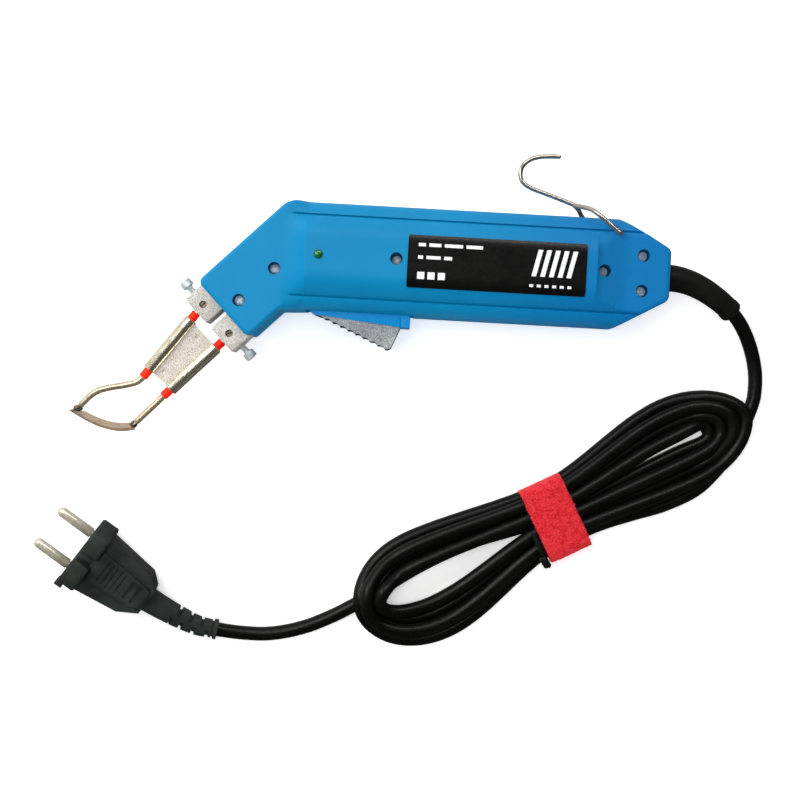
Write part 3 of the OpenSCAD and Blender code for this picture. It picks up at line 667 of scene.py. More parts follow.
# %% Trigger pad, label, lens, boards and fabric
def pad_top():
    """Grey grained rubber that catches the light in mottled flecks."""
    f = Finish("pad_grey", specular=0.4)
    fleck = f.noise(1500, 4, 0.8)
    tone = f.ramp(f.noise(90, 3), [(0.3, colour(132, 136, 140)), (0.55, colour(158, 163, 166)),
                                   (0.75, colour(196, 198, 198))])
    f.paint(f.mixed(f.stepped(fleck, 0.45, 0.58, 0.0, 0.75), tone, colour(78, 80, 88)))
    f.roughen(fleck, 0.5, 0.7)
    f.bump((fleck, 0.00005))
    return f.material


def label_film():
    """Glossy near-black film with a faint cloudiness and small dust specks."""
    f = Finish("label_black", coat=0.04, specular=0.14)
    f.set("Coat Roughness", 0.12)
    tone = f.ramp(f.noise(60, 3), [(0.35, colour(8, 8, 8)), (0.7, colour(15, 15, 14))])
    f.paint(f.mixed(f.stepped(f.noise(3800, 2), 0.66, 0.78, 0.0, 0.12), tone, colour(90, 90, 88)))
    f.roughen(f.noise(500, 3), 0.26, 0.34)
    f.bump((f.noise(70, 1), 0.00002))
    return f.material


def label_ink():
    f = Finish("label_white", specular=0.4)
    f.paint(f.ramp(f.noise(2600, 3), [(0.3, colour(205, 206, 208)), (0.55, colour(236, 237, 239))]))
    f.roughen(f.noise(900, 2), 0.4, 0.55)
    f.bump((f.noise(2600, 2), 0.000008))
    return f.material


def lens_green():
    f = Finish("lens_green", coat=0.6)
    f.set("Coat Roughness", 0.05)
    f.paint(f.ramp(f.noise(500, 3), [(0.3, colour(4, 62, 16)), (0.6, colour(10, 104, 30)),
                                     (0.8, colour(30, 140, 54))]))
    f.roughen(f.noise(300, 2), 0.12, 0.25)
    f.bump((f.noise(400, 2), 0.00001))
    return f.material


def board_green():
    f = Finish("board_green")
    weave = f.noise(1400, 2)
    f.paint(f.ramp(f.noise(300, 3), [(0.35, colour(18, 74, 38)), (0.65, colour(34, 104, 56))]))
    f.roughen(weave, 0.35, 0.5)
    f.bump((weave, 0.00001))
    return f.material


def red_loops(name, base, dark, light):
    """Hook-and-loop fabric: a nap of tangled loops, painted shade deep down and painted light on top."""
    f = Finish(name, specular=0.2)
    f.set("Sheen Weight", 0.5)
    f.set("Sheen Roughness", 0.5)
    f.set("Sheen Tint", colour(255, 120, 120))
    tangle_and_painted_shade = f.noise(1300, 4, 0.75)
    blots = f.cells(900)
    # Painted shade and light: the nap's colour follows its bump height, dark in the hollows and light on the
    # loop tops
    tone = f.ramp(tangle_and_painted_shade, [(0.34, dark), (0.5, base), (0.68, light)])
    f.paint(f.mixed(f.stepped(f.noise(320, 3), 0.4, 0.65, 0.0, 0.4), tone, light))
    f.roughen(tangle_and_painted_shade, 0.75, 0.95)
    f.bump((tangle_and_painted_shade, 0.0003), (blots, 0.0002))
    return f.material


pad_finish = pad_top()
label_finish = label_film()
ink_finish = label_ink()
lens_finish = lens_green()
board_finish = board_green()
tie_finish = red_loops("tie_loops", colour(206, 22, 34), colour(160, 6, 18), colour(232, 66, 76))
# The loose loops get a lighter copy of the strap's red: painted light on the loop tops that stand up
lit_tie_fibre_finish = red_loops("lit_tie_fibres", colour(220, 38, 50), colour(186, 14, 28), colour(246, 104, 112))
pad_rim_finish = black_rubber("pad_rim", (16, 16, 16), (0.5, 0.7))
print(len(bpy.data.materials), "materials")

# %% [markdown]
# ## The two blue shells
# The case is injection moulded in two halves that meet on a level plane. A half is a closed skin: an
# outline that is drawn inwards in rings, each ring at the height of the surface there, and then down
# a spine. Height is a formula: a rounded edge band, a fine groove, a crowned panel, a ramp down to the
# flat nose, and a crescent where the panel drops to the rear. The openings are cut afterwards.

# %% Outline of the case
mid_z = 19.0
half_w = 25.0
rear_x = 97.6
wall = 2.4
nose_t = -54.0
nose_front = 91.7


def nose(n, t):
    """A point n along the nose, which leaves the grip at 45 degrees, and t across it."""
    return ((t - n) / math.sqrt(2), -(t + n) / math.sqrt(2))


nose_upper = nose_t - 17
nose_lower = nose_t + 17
# Corners anticlockwise with their radii; the elbow is the one that turns the other way
corners = [((74.1, half_w), 4), ((nose_upper * math.sqrt(2) + half_w, half_w), 12),
           (nose(nose_front, nose_upper), 3), (nose(nose_front, nose_lower), 3),
           ((nose_lower * math.sqrt(2) - half_w, -half_w), 2), ((74.1, -half_w), 4),
           ((rear_x, -11.5), 4), ((rear_x, 11.5), 4)]
arc_steps = 6
fine_x = [72 - 1.2 * k for k in range(119)] + [64.0, 63.8, -67.0, -66.8]
fine_x = sorted({round(x, 3) for x in fine_x if -70 < x < 71.5}, reverse=True)


def inset_corner(i, d):
    """Corner i after every edge has moved inwards by d."""
    n = len(corners)
    a, b, c = (Vector(corners[j % n][0]) for j in (i - 1, i, i + 1))
    m1 = (b - a).normalized().orthogonal()
    m2 = (c - b).normalized().orthogonal()
    return b + (m1 + m2) * d / (1 + m1.dot(m2))


def ring_points(d):
    """One ring: arcs at the corners, and fixed places along the straight edges."""
    n = len(corners)
    inner = [inset_corner(i, d) for i in range(n)]
    points = []
    for i in range(n):
        a, b, c = inner[i - 1], inner[i], inner[(i + 1) % n]
        u, w = (a - b).normalized(), (c - b).normalized()
        turned = (b - a).x * (c - b).y - (b - a).y * (c - b).x
        r = corners[i][1] - d if turned > 0 else corners[i][1] + d
        r = max(r, 0.05)
        half = math.acos(max(-1, min(1, u.dot(w)))) / 2
        back = r / math.tan(half)
        centre = b + (u + w).normalized() * r / math.sin(half)
        for k in range(arc_steps + 1):
            s = k / arc_steps
            spoke = (b + u * back - centre) * (1 - s) + (b + w * back - centre) * s
            points.append(centre + spoke.normalized() * r)
        start = points[-1]
        u2 = (inner[i] - c).normalized()
        nxt = inner[(i + 2) % n]
        w2 = (nxt - c).normalized()
        turned = (c - b).x * (nxt - c).y - (c - b).y * (nxt - c).x
        r2 = max(corners[(i + 1) % n][1] - d if turned > 0 else corners[(i + 1) % n][1] + d, 0.05)
        half2 = math.acos(max(-1, min(1, u2.dot(w2)))) / 2
        end = c + u2 * r2 / math.tan(half2)
        if i in (0, 4):
            xs = fine_x if i == 0 else fine_x[::-1]
            points += [Vector((x, start.y)) for x in xs]
        else:
            spacing = 0.7 if i in (5, 7) else 1.6
            count = round((Vector(corners[(i + 1) % n][0]) - Vector(corners[i][0])).length / spacing)
            points += [start.lerp(end, k / count) for k in range(1, count)]
    return points


def spine_point(p, owner):
    """Where a ring point is drawn to: straight across on the grip, along the middle of the nose."""
    joint = Vector((nose_t * math.sqrt(2), 0))
    rear_end = Vector((80.0, 0))
    tip = Vector(nose(76, nose_t))
    if owner in ("upper", "lower"):
        return Vector((min(max(p.x, joint.x), rear_end.x), 0))
    if owner == "rear":
        return rear_end
    along = -(p.x + p.y) / math.sqrt(2)
    across = (p.x - p.y) / math.sqrt(2)
    first, last = (38, 88) if across < nose_t else (73, 89)
    u = min(max((along - first) / (last - first), 0), 1)
    return joint.lerp(tip, round(u * 8) / 8)


def owner_of(p):
    if p.x > 72.5:
        return "rear"
    if p.x > -70.5 and p.y > 0 or p.x > -76.4 and p.y < 0:
        return "upper" if p.y > 0 else "lower"
    return "nose"


print("fine columns on the grip:", len(fine_x))

# %% Height of the surface
flat_h = 14.5
crown_flat = 7.0
crown_r = 14.42
groove_y = 18.4
groove_half = 0.55
groove_bottom = 13.0
panel_rear = 63.9
panel_front = -66.9


def crown(y):
    over = min(max(0.0, abs(y) - crown_flat), 12.2)
    return mid_z - crown_r + math.sqrt(crown_r ** 2 - over ** 2)


def band(y):
    """Rounded band outside the groove."""
    over = max(0.0, min(abs(y) - 17, 8.0))
    return 6 + math.sqrt(max(0.0, 64 - over * over))


def section(y):
    """Height across the grip: crowned panel, then the rounded band outside the groove."""
    return crown(y) if abs(y) < groove_y else band(y) - 0.1


def surface(x, y, d):
    """Height above the parting plane at (x, y), d inside the outline."""
    if x < panel_front:
        u = min(max((x + 77.5) / 10.6, 0.0), 1.0)
        h = mix(flat_h, section(y), u ** 1.7)
    elif x > panel_rear:
        rear = flat_h + 3.1 * (1 - smoothstep((x - panel_rear) / 15))
        side = min(crown(y), rear)
        step = crown(y) - 0.62 * (x - panel_rear) - 0.15
        h = max(side, step) if abs(y) < 17.2 else min(section(y), rear)
    else:
        h = section(y)
    edge = 1.7
    if d < edge:
        h -= edge - math.sqrt(edge ** 2 - (edge - d) ** 2)
    return h


# %% A half shell
ring_depths = [0, 0.1, 0.25, 0.5, 0.8, 1.2, 1.7, 2.3, 3, 3.8, 4.6, 5.3, 5.9, 6.4, 6.59, 6.61, 6.9, 7.6]
spine_steps = [0.12, 0.25, 0.38, 0.5, 0.6, 0.7, 0.8, 0.9, 1.0]


def skin(depths, lift, steps, down_to):
    """Rings from the parting plane up the side, over the edge and in to the spine."""
    rows = []
    start = ring_points(depths[0])
    owners = [owner_of(p) for p in ring_points(0)]
    for inset, z in down_to:
        rows.append([(p.x, p.y, z) for p in ring_points(inset)])
    for d in depths:
        rows.append([(p.x, p.y, surface(p.x, p.y, d) + lift) for p in ring_points(d)])
    last = ring_points(depths[-1])
    for s in steps:
        row = []
        for p, owner in zip(last, owners):
            q = p.lerp(spine_point(p, owner), s)
            row.append((q.x, q.y, surface(q.x, q.y, 20) + lift))
        rows.append(row)
    return rows, len(start)


def shell(name, upper):
    outer, n = skin(ring_depths, 0.0, spine_steps, [(0.35, 0.0), (0.02, 0.28), (0.0, 2.0), (0.0, 4.0)])
    inner, _ = skin([wall, 3.5, 5.0, 7.6], -wall, [0.35, 0.7, 1.0], [(wall, 0.0)])
    verts, faces = [], []
    for rows, inside in ((outer, False), (inner, True)):
        base = len(verts)
        for row in rows:
            verts += [Vector(p) for p in row]
        for i in range(len(rows) - 1):
            for k in range(n):
                j = (k + 1) % n
                quad = (base + i * n + k, base + i * n + j, base + (i + 1) * n + j, base + (i + 1) * n + k)
                faces.append(quad[::-1] if inside else quad)
    start = len(outer) * n
    faces += [(k, start + k, start + (k + 1) % n, (k + 1) % n) for k in range(n)]
    return finish_half(make_mesh(name, verts, faces), upper)


def finish_half(piece, upper):
    """Puts a half, made with its parting plane at zero, in its place in metres."""
    flip = 1 if upper else -1
    place = Matrix.Translation((0, 0, mid_z * mm)) @ Matrix.Diagonal((mm, mm, flip * mm, 1))
    return moved(piece, place)


# %% Openings of the shells
screw_at = [nose(83.5, -52.2), nose(62, -52.2), (-26, 0), (67.5, 0), (85, 8), (85, -8)]
recess_r = 2.8
recess_floor = 8.0
block_t = (-62.5, -44.8)
block_l = 14.6
block_half = 7  # half the blocks' height
block_back = 87.6
block_front = 101.8
hook_pivot = (74.2, 17)
lens_at = (-61, 0)


def turned_rod(name, profile, place, axis=(0, 0, 1), steps=40):
    """A lathe part given in millimetres."""
    piece = lathe(name, profile, place, axis, steps)
    return moved(piece, to_metres)


def slab(name, outline, z0, z1):
    return moved(extrude(name, outline, z0, z1), to_metres)


def nose_box(name, n0, n1, t0, t1, z0, z1):
    return slab(name, [nose(n0, t0), nose(n1, t0), nose(n1, t1), nose(n0, t1)], z0, z1)


def boss(place, upper, tall):
    """Screw post; the upper one holds the screw's head in a deep cup."""
    x, y = place
    r = 3.2 if x > 60 else 3.6
    if upper:
        profile = [(1.45, 0.05), (r, 0.05), (r, tall), (recess_r, tall), (recess_r, recess_floor),
                   (1.45, recess_floor)]
    else:
        profile = [(1.3, 0.05), (r, 0.05), (r, tall), (1.3, tall)]
    piece = ring_part("boss", profile, (x, y, 0), (0, 0, 1))
    return finish_half(piece, upper)


def ring_part(name, profile, place, axis, steps=40):
    """A turned part with a bore: its profile is a closed loop of (radius, distance)."""
    turn = Vector(axis).normalized().to_track_quat("Z", "Y").to_matrix()
    n = len(profile)
    verts = [Vector(place) + turn @ Vector((r * math.cos(2 * math.pi * k / steps),
                                            r * math.sin(2 * math.pi * k / steps), h))
             for k in range(steps) for r, h in profile]
    faces = [(k * n + i, k * n + (i + 1) % n, (k + 1) % steps * n + (i + 1) % n, (k + 1) % steps * n + i)
             for k in range(steps) for i in range(n)]
    piece = make_mesh(name, verts, faces)
    shade_by_angle(piece)
    return piece


def groove_tool(side):
    """A long wedge along the groove, lifted out of the surface at its front end."""
    verts, faces = [], []
    stations = [(-75.5, 1.9), (-73, 0.75), (-68, 0.0), (0, 0.0), (92, 0.0)]
    for x, lift in stations:
        for y, h in ((-groove_half, 2.0), (-groove_half, 0.75), (0, 0), (groove_half, 0.75),
                     (groove_half, 2.0)):
            verts.append(Vector((x, side * groove_y + y, mid_z + groove_bottom + lift + h)) * mm)
    for i in range(len(stations) - 1):
        faces += [(i * 5 + k, i * 5 + (k + 1) % 5, i * 5 + 5 + (k + 1) % 5, i * 5 + 5 + k) for k in range(5)]
    last = 5 * (len(stations) - 1)
    faces += [(4, 3, 2, 1, 0), tuple(last + k for k in range(5))]
    return make_mesh("groove", verts, faces, smooth=False)


def open_shell(piece, upper):
    tools = [groove_tool(side) for side in (-1, 1)]
    if not upper:
        for tool in tools:
            moved(tool, Matrix.Translation((0, 0, 2 * mid_z * mm)) @ Matrix.Diagonal((1, 1, -1, 1)))
    grow = 0.12  # the windows are this much larger than the blocks, all round
    for t in block_t:
        tools.append(nose_box("window", block_back - 6, block_front, t - block_l / 2 - grow,
                              t + block_l / 2 + grow,
                              mid_z - (block_half + grow), mid_z + (block_half + grow)))
    tools.append(moved(box("slot", (-66, -27, mid_z - 8.3), (-17, -11, mid_z + 8.3)),
                       to_metres))
    tools.append(turned_rod("neck", [(5.45, 0), (5.45, 20)], (88, 0, mid_z), (1, 0, 0)))
    tools.append(turned_rod("hook_hole", [(0.98, 2), (0.98, 36)], (*hook_pivot, 1)))
    if upper:
        tools.append(turned_rod("lens_hole", [(2.06, 0), (2.06, 12)], (*lens_at, mid_z + 10)))
        for p in screw_at:
            tools.append(turned_rod("screw_hole", [(recess_r, 0), (recess_r, 14)], (*p, mid_z + 10.5)))
    for tool in tools:
        cut(piece, tool)
    return piece


def make_shell(name, upper):
    piece = open_shell(shell(name, upper), upper)
    heights = [surface(x, y, 20) - 0.9 for x, y in screw_at]
    posts = [boss(p, upper, h) for p, h in zip(screw_at, heights)]
    piece = join(name, [piece, *posts])
    shade_by_angle(piece, 32)
    piece.data.materials.append(blue_housing_finish)
    print(name, len(piece.data.polygons), "faces")
    return piece


upper_shell = make_shell("upper_shell", True)
lower_shell = make_shell("lower_shell", False)
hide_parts("housing_upper")
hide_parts("housing_lower")
for piece in (upper_shell, lower_shell):
    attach(piece, "housing")

# %% [markdown]
# ## Screws that close the case
# All six case screws are alike, so one pan head with a cross recess is made once and a small node
# tree sets it on six points. Realize Instances turns the copies into real mesh.

# %% One screw head
head_r = 2.3
head_h = 2.0


def cross_head(name, r, h, shank_r, shank_l, slot_w=0.8):
    """A pan head with a crossed recess, its seat at zero, in millimetres."""
    dome = [(r * math.sin(math.radians(a)), h - 0.9 + 0.9 * math.cos(math.radians(a)))
            for a in (90, 75, 58, 42, 28, 14)]
    profile = [(shank_r, -shank_l), (shank_r, 0), (r * 0.97, 0), (r, 0.25), *dome, (0.01, h + 0.02)]
    piece = lathe(name, profile, (0, 0, 0), (0, 0, 1), 36)
    for turn_by in (0, 90):
        arm = extrude("arm", [(-r * 0.62, -slot_w / 2), (r * 0.62, -slot_w / 2), (r * 0.62, slot_w / 2),
                              (-r * 0.62, slot_w / 2)],
                      h - 1.1, h + 1)
        moved(arm, Matrix.Rotation(math.radians(turn_by), 4, "Z"))
        cut(piece, arm)
    pit = lathe("pit", [(0.35, h - 1.3), (r * 0.3, h - 0.2), (r * 0.34, h + 1)], (0, 0, 0), (0, 0, 1), 12)
    cut(piece, pit)
    shade_by_angle(piece, 30)
    return moved(piece, to_metres)


# %% Set copies of a piece on points with Geometry Nodes
def scatter(name, source, places, material, turns=None):
    """Copies source to every place, each turned about Z, and gives them one material."""
    points = bpy.data.meshes.new(name)
    points.from_pydata([tuple(p) for p in places], [], [])
    turn_values = points.attributes.new("turn", "FLOAT", "POINT")
    for i, entry in enumerate(turn_values.data):
        entry.value = turns[i] if turns else 0.0
    piece = link(name, points)
    tree = bpy.data.node_groups.new(name + "_nodes", "GeometryNodeTree")
    tree.interface.new_socket("Geometry", in_out="INPUT", socket_type="NodeSocketGeometry")
    size_socket = tree.interface.new_socket("Size", in_out="INPUT", socket_type="NodeSocketFloat")
    tree.interface.new_socket("Geometry", in_out="OUTPUT", socket_type="NodeSocketGeometry")
    n = tree.nodes
    start, end = n.new("NodeGroupInput"), n.new("NodeGroupOutput")
    info = n.new("GeometryNodeObjectInfo")
    info.inputs["Object"].default_value = source
    read = n.new("GeometryNodeInputNamedAttribute")
    read.data_type = "FLOAT"
    read.inputs["Name"].default_value = "turn"
    spin = n.new("ShaderNodeCombineXYZ")
    put = n.new("GeometryNodeInstanceOnPoints")
    real = n.new("GeometryNodeRealizeInstances")
    paint = n.new("GeometryNodeSetMaterial")
    paint.inputs["Material"].default_value = material
    tree.links.new(start.outputs["Geometry"], put.inputs["Points"])
    tree.links.new(info.outputs["Geometry"], put.inputs["Instance"])
    tree.links.new(read.outputs["Attribute"], spin.inputs["Z"])
    tree.links.new(spin.outputs["Vector"], put.inputs["Rotation"])
    tree.links.new(start.outputs["Size"], put.inputs["Scale"])
    tree.links.new(put.outputs["Instances"], real.inputs["Geometry"])
    tree.links.new(real.outputs["Geometry"], paint.inputs["Geometry"])
    tree.links.new(paint.outputs["Geometry"], end.inputs["Geometry"])
    mod = piece.modifiers.new("scatter", "NODES")
    mod.node_group = tree
    mod[size_socket.identifier] = 1.0
    bake_modifiers(piece)
    bpy.data.objects.remove(source)
    print(name, len(places), "copies,", len(piece.data.polygons), "faces")
    return piece


screw_places = [Vector((x, y, mid_z + recess_floor + 0.6)) * mm for x, y in screw_at]
screw_turns = [math.radians(a) for a in (38, 62, 28, 20, 55, 40)]
case_screws = scatter("case_screws", cross_head("head", head_r, head_h, 1.2, 17.5), screw_places,
                      case_screw_finish, screw_turns)
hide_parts("housing_screws")
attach(case_screws, "housing")

# %% [markdown]
# ## Rating label, with plain marks
# The label is printed film wrapped over the crowned panel. Its sheet follows the same height formula
# as the shell, so it lies on it exactly. The print is only bars, dots and slanted strokes: no letters.

# %% Label film
label_x = (-21.0, 59.0)
label_half = 12.5
film_t = 0.3


def wrapped(name, x0, x1, y0, y1, low, high, nx, ny, corner=0.0, slant=0.0):
    """A thin plate bent over the crown, between two heights above the panel."""
    grid = []
    for layer in (high, low):
        for i in range(nx + 1):
            for j in range(ny + 1):
                y = mix(y0, y1, j / ny)
                x = mix(x0, x1, i / nx)
                if corner:
                    over = max(0.0, abs(y - (y0 + y1) / 2) - ((y1 - y0) / 2 - corner))
                    pull = corner - math.sqrt(max(0.0, corner ** 2 - over ** 2))
                    x = min(max(x, x0 + pull), x1 - pull)
                grid.append(Vector((x + slant * (y - y0), y, mid_z + crown(y) + layer)) * mm)
    m = ny + 1
    top = (nx + 1) * m
    faces = []
    for i in range(nx):
        for j in range(ny):
            a = i * m + j
            faces.append((a, a + m, a + m + 1, a + 1))
            faces.append((top + a, top + a + 1, top + a + m + 1, top + a + m))
    rim = [i * m for i in range(nx + 1)] + [nx * m + j for j in range(1, m)]
    rim += [i * m + ny for i in range(nx - 1, -1, -1)] + [j for j in range(ny - 1, 0, -1)]
    faces += [(rim[k], top + rim[k], top + rim[(k + 1) % len(rim)], rim[(k + 1) % len(rim)])
              for k in range(len(rim))]
    piece = make_mesh(name, grid, faces)
    shade_by_angle(piece)
    return piece


label_sheet = wrapped("label_sheet", *label_x, -label_half, label_half - 1.4, -0.12, film_t, 80, 28,
                      corner=0.4)
label_sheet.data.materials.append(label_finish)
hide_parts("rating_label")
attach(label_sheet, "housing")

# %% Label print
ink = []


def bar(x0, x1, y0, y1, slant=0.0):
    steps = max(1, math.ceil((y1 - y0) / 1.0))
    ink.append(wrapped("ink", x0, x1, y0, y1, film_t - 0.02, film_t + 0.03, 1, steps, slant=slant))


# Two rows of dashes, then three squares, a row of dots and a block of slanted strokes
for row_y, widths in ((6.0, (3.2, 5.4, 8.2, 7.4)), (0.4, (2.2, 6.4, 3.6))):
    x = -16.4
    for width in widths:
        bar(x, x + width, row_y, row_y + 1.5)
        x += width + 1.5
for k in range(3):
    bar(-16.4 + 4.6 * k, -13.2 + 4.6 * k, -8.6, -5.4)
for k in range(6):
    bar(33.8 + 3.4 * k, 35.6 + 3.4 * k, -9.4, -8.2)
for k in range(5):
    bar(34.5 + 3.9 * k, 36.6 + 3.9 * k, -4.6, 7.4, slant=0.22)
label_print = join("label_print", ink)
label_print.data.materials.append(ink_finish)
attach(label_print, "housing")

# %% Indicator lens
lens_dome = [(2.0, 0.0), (2.0, 0.25)] + [(2.0 * math.cos(math.radians(a)),
                                          0.25 + 0.8 * math.sin(math.radians(a)))
                                         for a in (15, 30, 45, 60, 75)] + [(0.02, 1.05)]
lens = turned_rod("lens", [(2.8, -6.4), (2.8, -5.2), (2.0, -5.2)] + lens_dome,
                  (*lens_at, mid_z + mid_z - 0.1))
lens.data.materials.append(lens_finish)
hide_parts("indicator_lens")
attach(lens, "housing")

# %% [markdown]
# ## Terminal blocks and their screws
# Two cast blocks clamp the tip's rods. They are boxes with softly rounded edges and a speckled nickel
# skin. A slotted grub screw sits in a hole on top, and a cap screw with a socket comes in from the side.

# %% Blocks
nose_axis = Vector((-1, -1, 0)).normalized()
across_axis = Vector((1, -1, 0)).normalized()


def terminal_block(i):
    t = block_t[i]
    outer = -1 if i == 0 else 1
    piece = nose_box("block_" + "ab"[i], block_back, block_front, t - block_l / 2, t + block_l / 2,
                     mid_z - block_half, mid_z + block_half)
    bevelled(piece, 0.55 * mm, 3)
    hole = (*nose(97.2, t), mid_z)
    cut(piece, turned_rod("grub_hole", [(1.72, 1.0), (1.72, 9)], hole))
    cut(piece, turned_rod("rod_hole", [(1.58, 0), (1.58, 22)], (*nose(86, t), mid_z), nose_axis))
    side = (*nose(97, t + outer * 1.2), mid_z)
    cut(piece, turned_rod("clamp_hole", [(1.56, 0), (1.56, 12)], side, across_axis * outer))
    shade_by_angle(piece, 30)
    piece.data.materials.append(block_finish)
    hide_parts("terminal_block_" + "ab"[i])
    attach(piece, "housing")
    return piece


def grub_screw(i):
    profile = [(1.2, 0), (1.66, 0.3), (1.66, 3.7), (1.4, 4.0), (0.02, 4.0)]
    piece = turned_rod("grub", profile, (*nose(97.2, block_t[i]), mid_z + 1.6))
    blade_slot = moved(box("slot", (-2.4, -0.32, mid_z + 4.6), (2.4, 0.32, mid_z + 8)),
                       to_metres)
    x, y = nose(97.2, block_t[i])
    turn_by = math.radians((38, 24)[i])
    moved(blade_slot, Matrix.Translation((x * mm, y * mm, 0)) @ Matrix.Rotation(turn_by, 4, "Z"))
    cut(piece, blade_slot)
    shade_by_angle(piece, 30)
    return piece


for i in (0, 1):
    terminal_block(i)
grubs = join("grub_screws", [grub_screw(0), grub_screw(1)])
grubs.data.materials.append(grub_finish)
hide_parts("block_grub_screws")
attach(grubs, "housing")


# %% Cap screws from the side
def clamp_screw(i):
    """A cap screw: threaded shank of small ridges, knurl-free head with rounded rim, hex socket."""
    t = block_t[i]
    outer = -1 if i == 0 else 1
    tip = t + outer * 1.7
    length = block_l / 2 + 4 - 1.7
    thread = [(1.18, 0.0)]
    z = 0.2
    while z < length - 1.2:
        thread += [(1.47, z), (1.47, z + 0.12), (1.24, z + 0.34), (1.24, z + 0.42)]
        z += 0.6
    head = [(1.5, length - 0.6), (1.5, length), (2.5, length), (2.78, length + 0.3), (2.78, length + 2.9),
            (2.5, length + 3.4), (1.9, length + 3.5), (0.02, length + 3.5)]
    piece = turned_rod("screw", thread + head, (*nose(97, tip), mid_z), across_axis * outer, 40)
    socket = lathe("socket", [(1.4, length + 1.5), (1.4, length + 5)], (*nose(97, tip), mid_z),
                   across_axis * outer, 6)
    cut(piece, moved(socket, to_metres))
    shade_by_angle(piece, 30)
    name = "clamp_screw_" + "ab"[i]
    piece.name = "cap_screw_" + "ab"[i]
    piece.data.materials.append(zinc_finish)
    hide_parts(name)
    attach(piece, name)


for i in (0, 1):
    clamp_screw(i)

# %% [markdown]
# ## The tip: rods, sleeves, bracket and blade
# Two drawn rods carry the blade. Each passes through a red heat-proof sleeve held in a rolled barrel,
# and a thin sheet joins the barrels. The rods are swept along the same places as in the frame; the
# blade is a strip with a ground bevel along its outer edge.

# %% Rods
upper_a = Vector((*nose(103, block_t[0]), mid_z))
upper_b = Vector((-139.8, -59.1, mid_z))
lower_a = Vector((*nose(103, block_t[1]), mid_z))
lower_b = Vector((-129.9, -67.3, mid_z))


def rod(name, i, a, b, bends):
    route = [Vector((*nose(90, block_t[i]), mid_z)), Vector((*nose(101, block_t[i]), mid_z))]
    route += [a.lerp(b, u) for u in (0, 0.06, 0.14, 0.3, 0.5, 0.7, 0.9, 1)]
    route += [Vector((x, y, mid_z)) for x, y in bends]
    path = [p * mm for p in catmull(route, 0.8)]
    radii = [1.5 * mm] * len(path)
    radii[-1] = 1.15 * mm
    radii[-2] = 1.4 * mm
    return tube_mesh(name, path, radii, 20)


upper_bends = [(-142.5, -61.5), (-148, -63.2), (-155, -64.8), (-160, -66.5), (-164, -69.5), (-168, -74)]
lower_bends = [(-132, -69.7), (-138, -76), (-142, -80.2)]
for name, i, a, b, bends in (("upper", 0, upper_a, upper_b, upper_bends),
                             ("lower", 1, lower_a, lower_b, lower_bends)):
    piece = rod("rod_" + name, i, a, b, bends)
    piece.data.materials.append(rod_finish)
    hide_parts("tip_rod_" + name)
    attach(piece, "tip")

# %% Blade
blade_outer = [(-173.5, -76), (-166, -80), (-158, -83.2), (-149, -84.6), (-142, -83.5)]
blade_inner = [(-142.5, -80), (-150, -80.6), (-158, -79.2), (-167, -75.4)]


def blade_mesh():
    """Cross-sections along the strip: full thickness inside, ground to a thin edge outside."""
    outer = catmull([(x, y, 0) for x, y in blade_outer], 1.0)
    inner = catmull([(x, y, 0) for x, y in blade_inner[::-1]], 1.0)
    n = 44
    verts, faces = [], []
    for k in range(n + 1):
        u = k / n
        a = sample(outer, u)
        b = sample(inner, min(max((u - 0.03) / 0.97, 0), 1)) if u > 0.03 else sample(inner, 0)
        b = a.lerp(b, min(1.0, 0.04 + u / 0.12))
        for s, h in ((0.0, 0.08), (0.32, 0.58), (0.94, 0.6), (1.0, 0.5), (1.0, -0.5), (0.94, -0.6),
                     (0.32, -0.58), (0.0, -0.08)):
            p = a.lerp(b, s)
            verts.append(Vector((p.x, p.y, mid_z + h)) * mm)
    for k in range(n):
        faces += [(k * 8 + j, k * 8 + (j + 1) % 8, k * 8 + 8 + (j + 1) % 8, k * 8 + 8 + j) for j in range(8)]
    faces += [tuple(range(7, -1, -1)), tuple(n * 8 + j for j in range(8))]
    piece = make_mesh("blade_strip", verts, faces)
    shade_by_angle(piece, 12)
    return piece


def sample(points, u):
    """The point at part u of a list of evenly spaced ones."""
    f = u * (len(points) - 1)
    i = min(int(f), len(points) - 2)
    return points[i].lerp(points[i + 1], f - i)


blade = blade_mesh()
blade.data.materials.append(blade_finish)
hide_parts("blade")
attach(blade, "tip")


# %% Weld beads where the rods meet the blade
def bead(name, place, size, seed):
    bm = bmesh.new()
    bmesh.ops.create_icosphere(bm, subdivisions=4, radius=1)
    for v in bm.verts:
        rough = noise.noise(v.co * 2.2 + Vector((seed, 0, 0))) * 0.28
        rough += noise.noise(v.co * 6 + Vector((seed, 3, 0))) * 0.08
        v.co = v.co * (1 + rough)
        v.co = Vector((v.co.x * size[0], v.co.y * size[1], v.co.z * size[2]))
        v.co = (v.co + Vector(place)) * mm
    mesh = bpy.data.meshes.new(name)
    bm.to_mesh(mesh)
    bm.free()
    mesh.shade_smooth()
    return link(name, mesh)


welds = join("weld_beads", [bead("a", (-168.7, -75.0, mid_z + 0.25), (2.1, 1.5, 1.35), 1.0),
                            bead("b", (-142.9, -81.0, mid_z + 0.1), (1.7, 1.6, 1.3), 7.0),
                            bead("c", (-170.6, -76.2, mid_z), (1.5, 1.0, 0.75), 4.0)])
welds.data.materials.append(weld_finish)
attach(welds, "tip")


# %% Sleeves and bracket
def between(a, b, u):
    return a + (b - a) * u


def on_rod(name, a, b, profile, steps=40):
    """A ring part along a rod; profile distances run from a."""
    piece = ring_part(name, profile, a, b - a, steps)
    return moved(piece, to_metres)


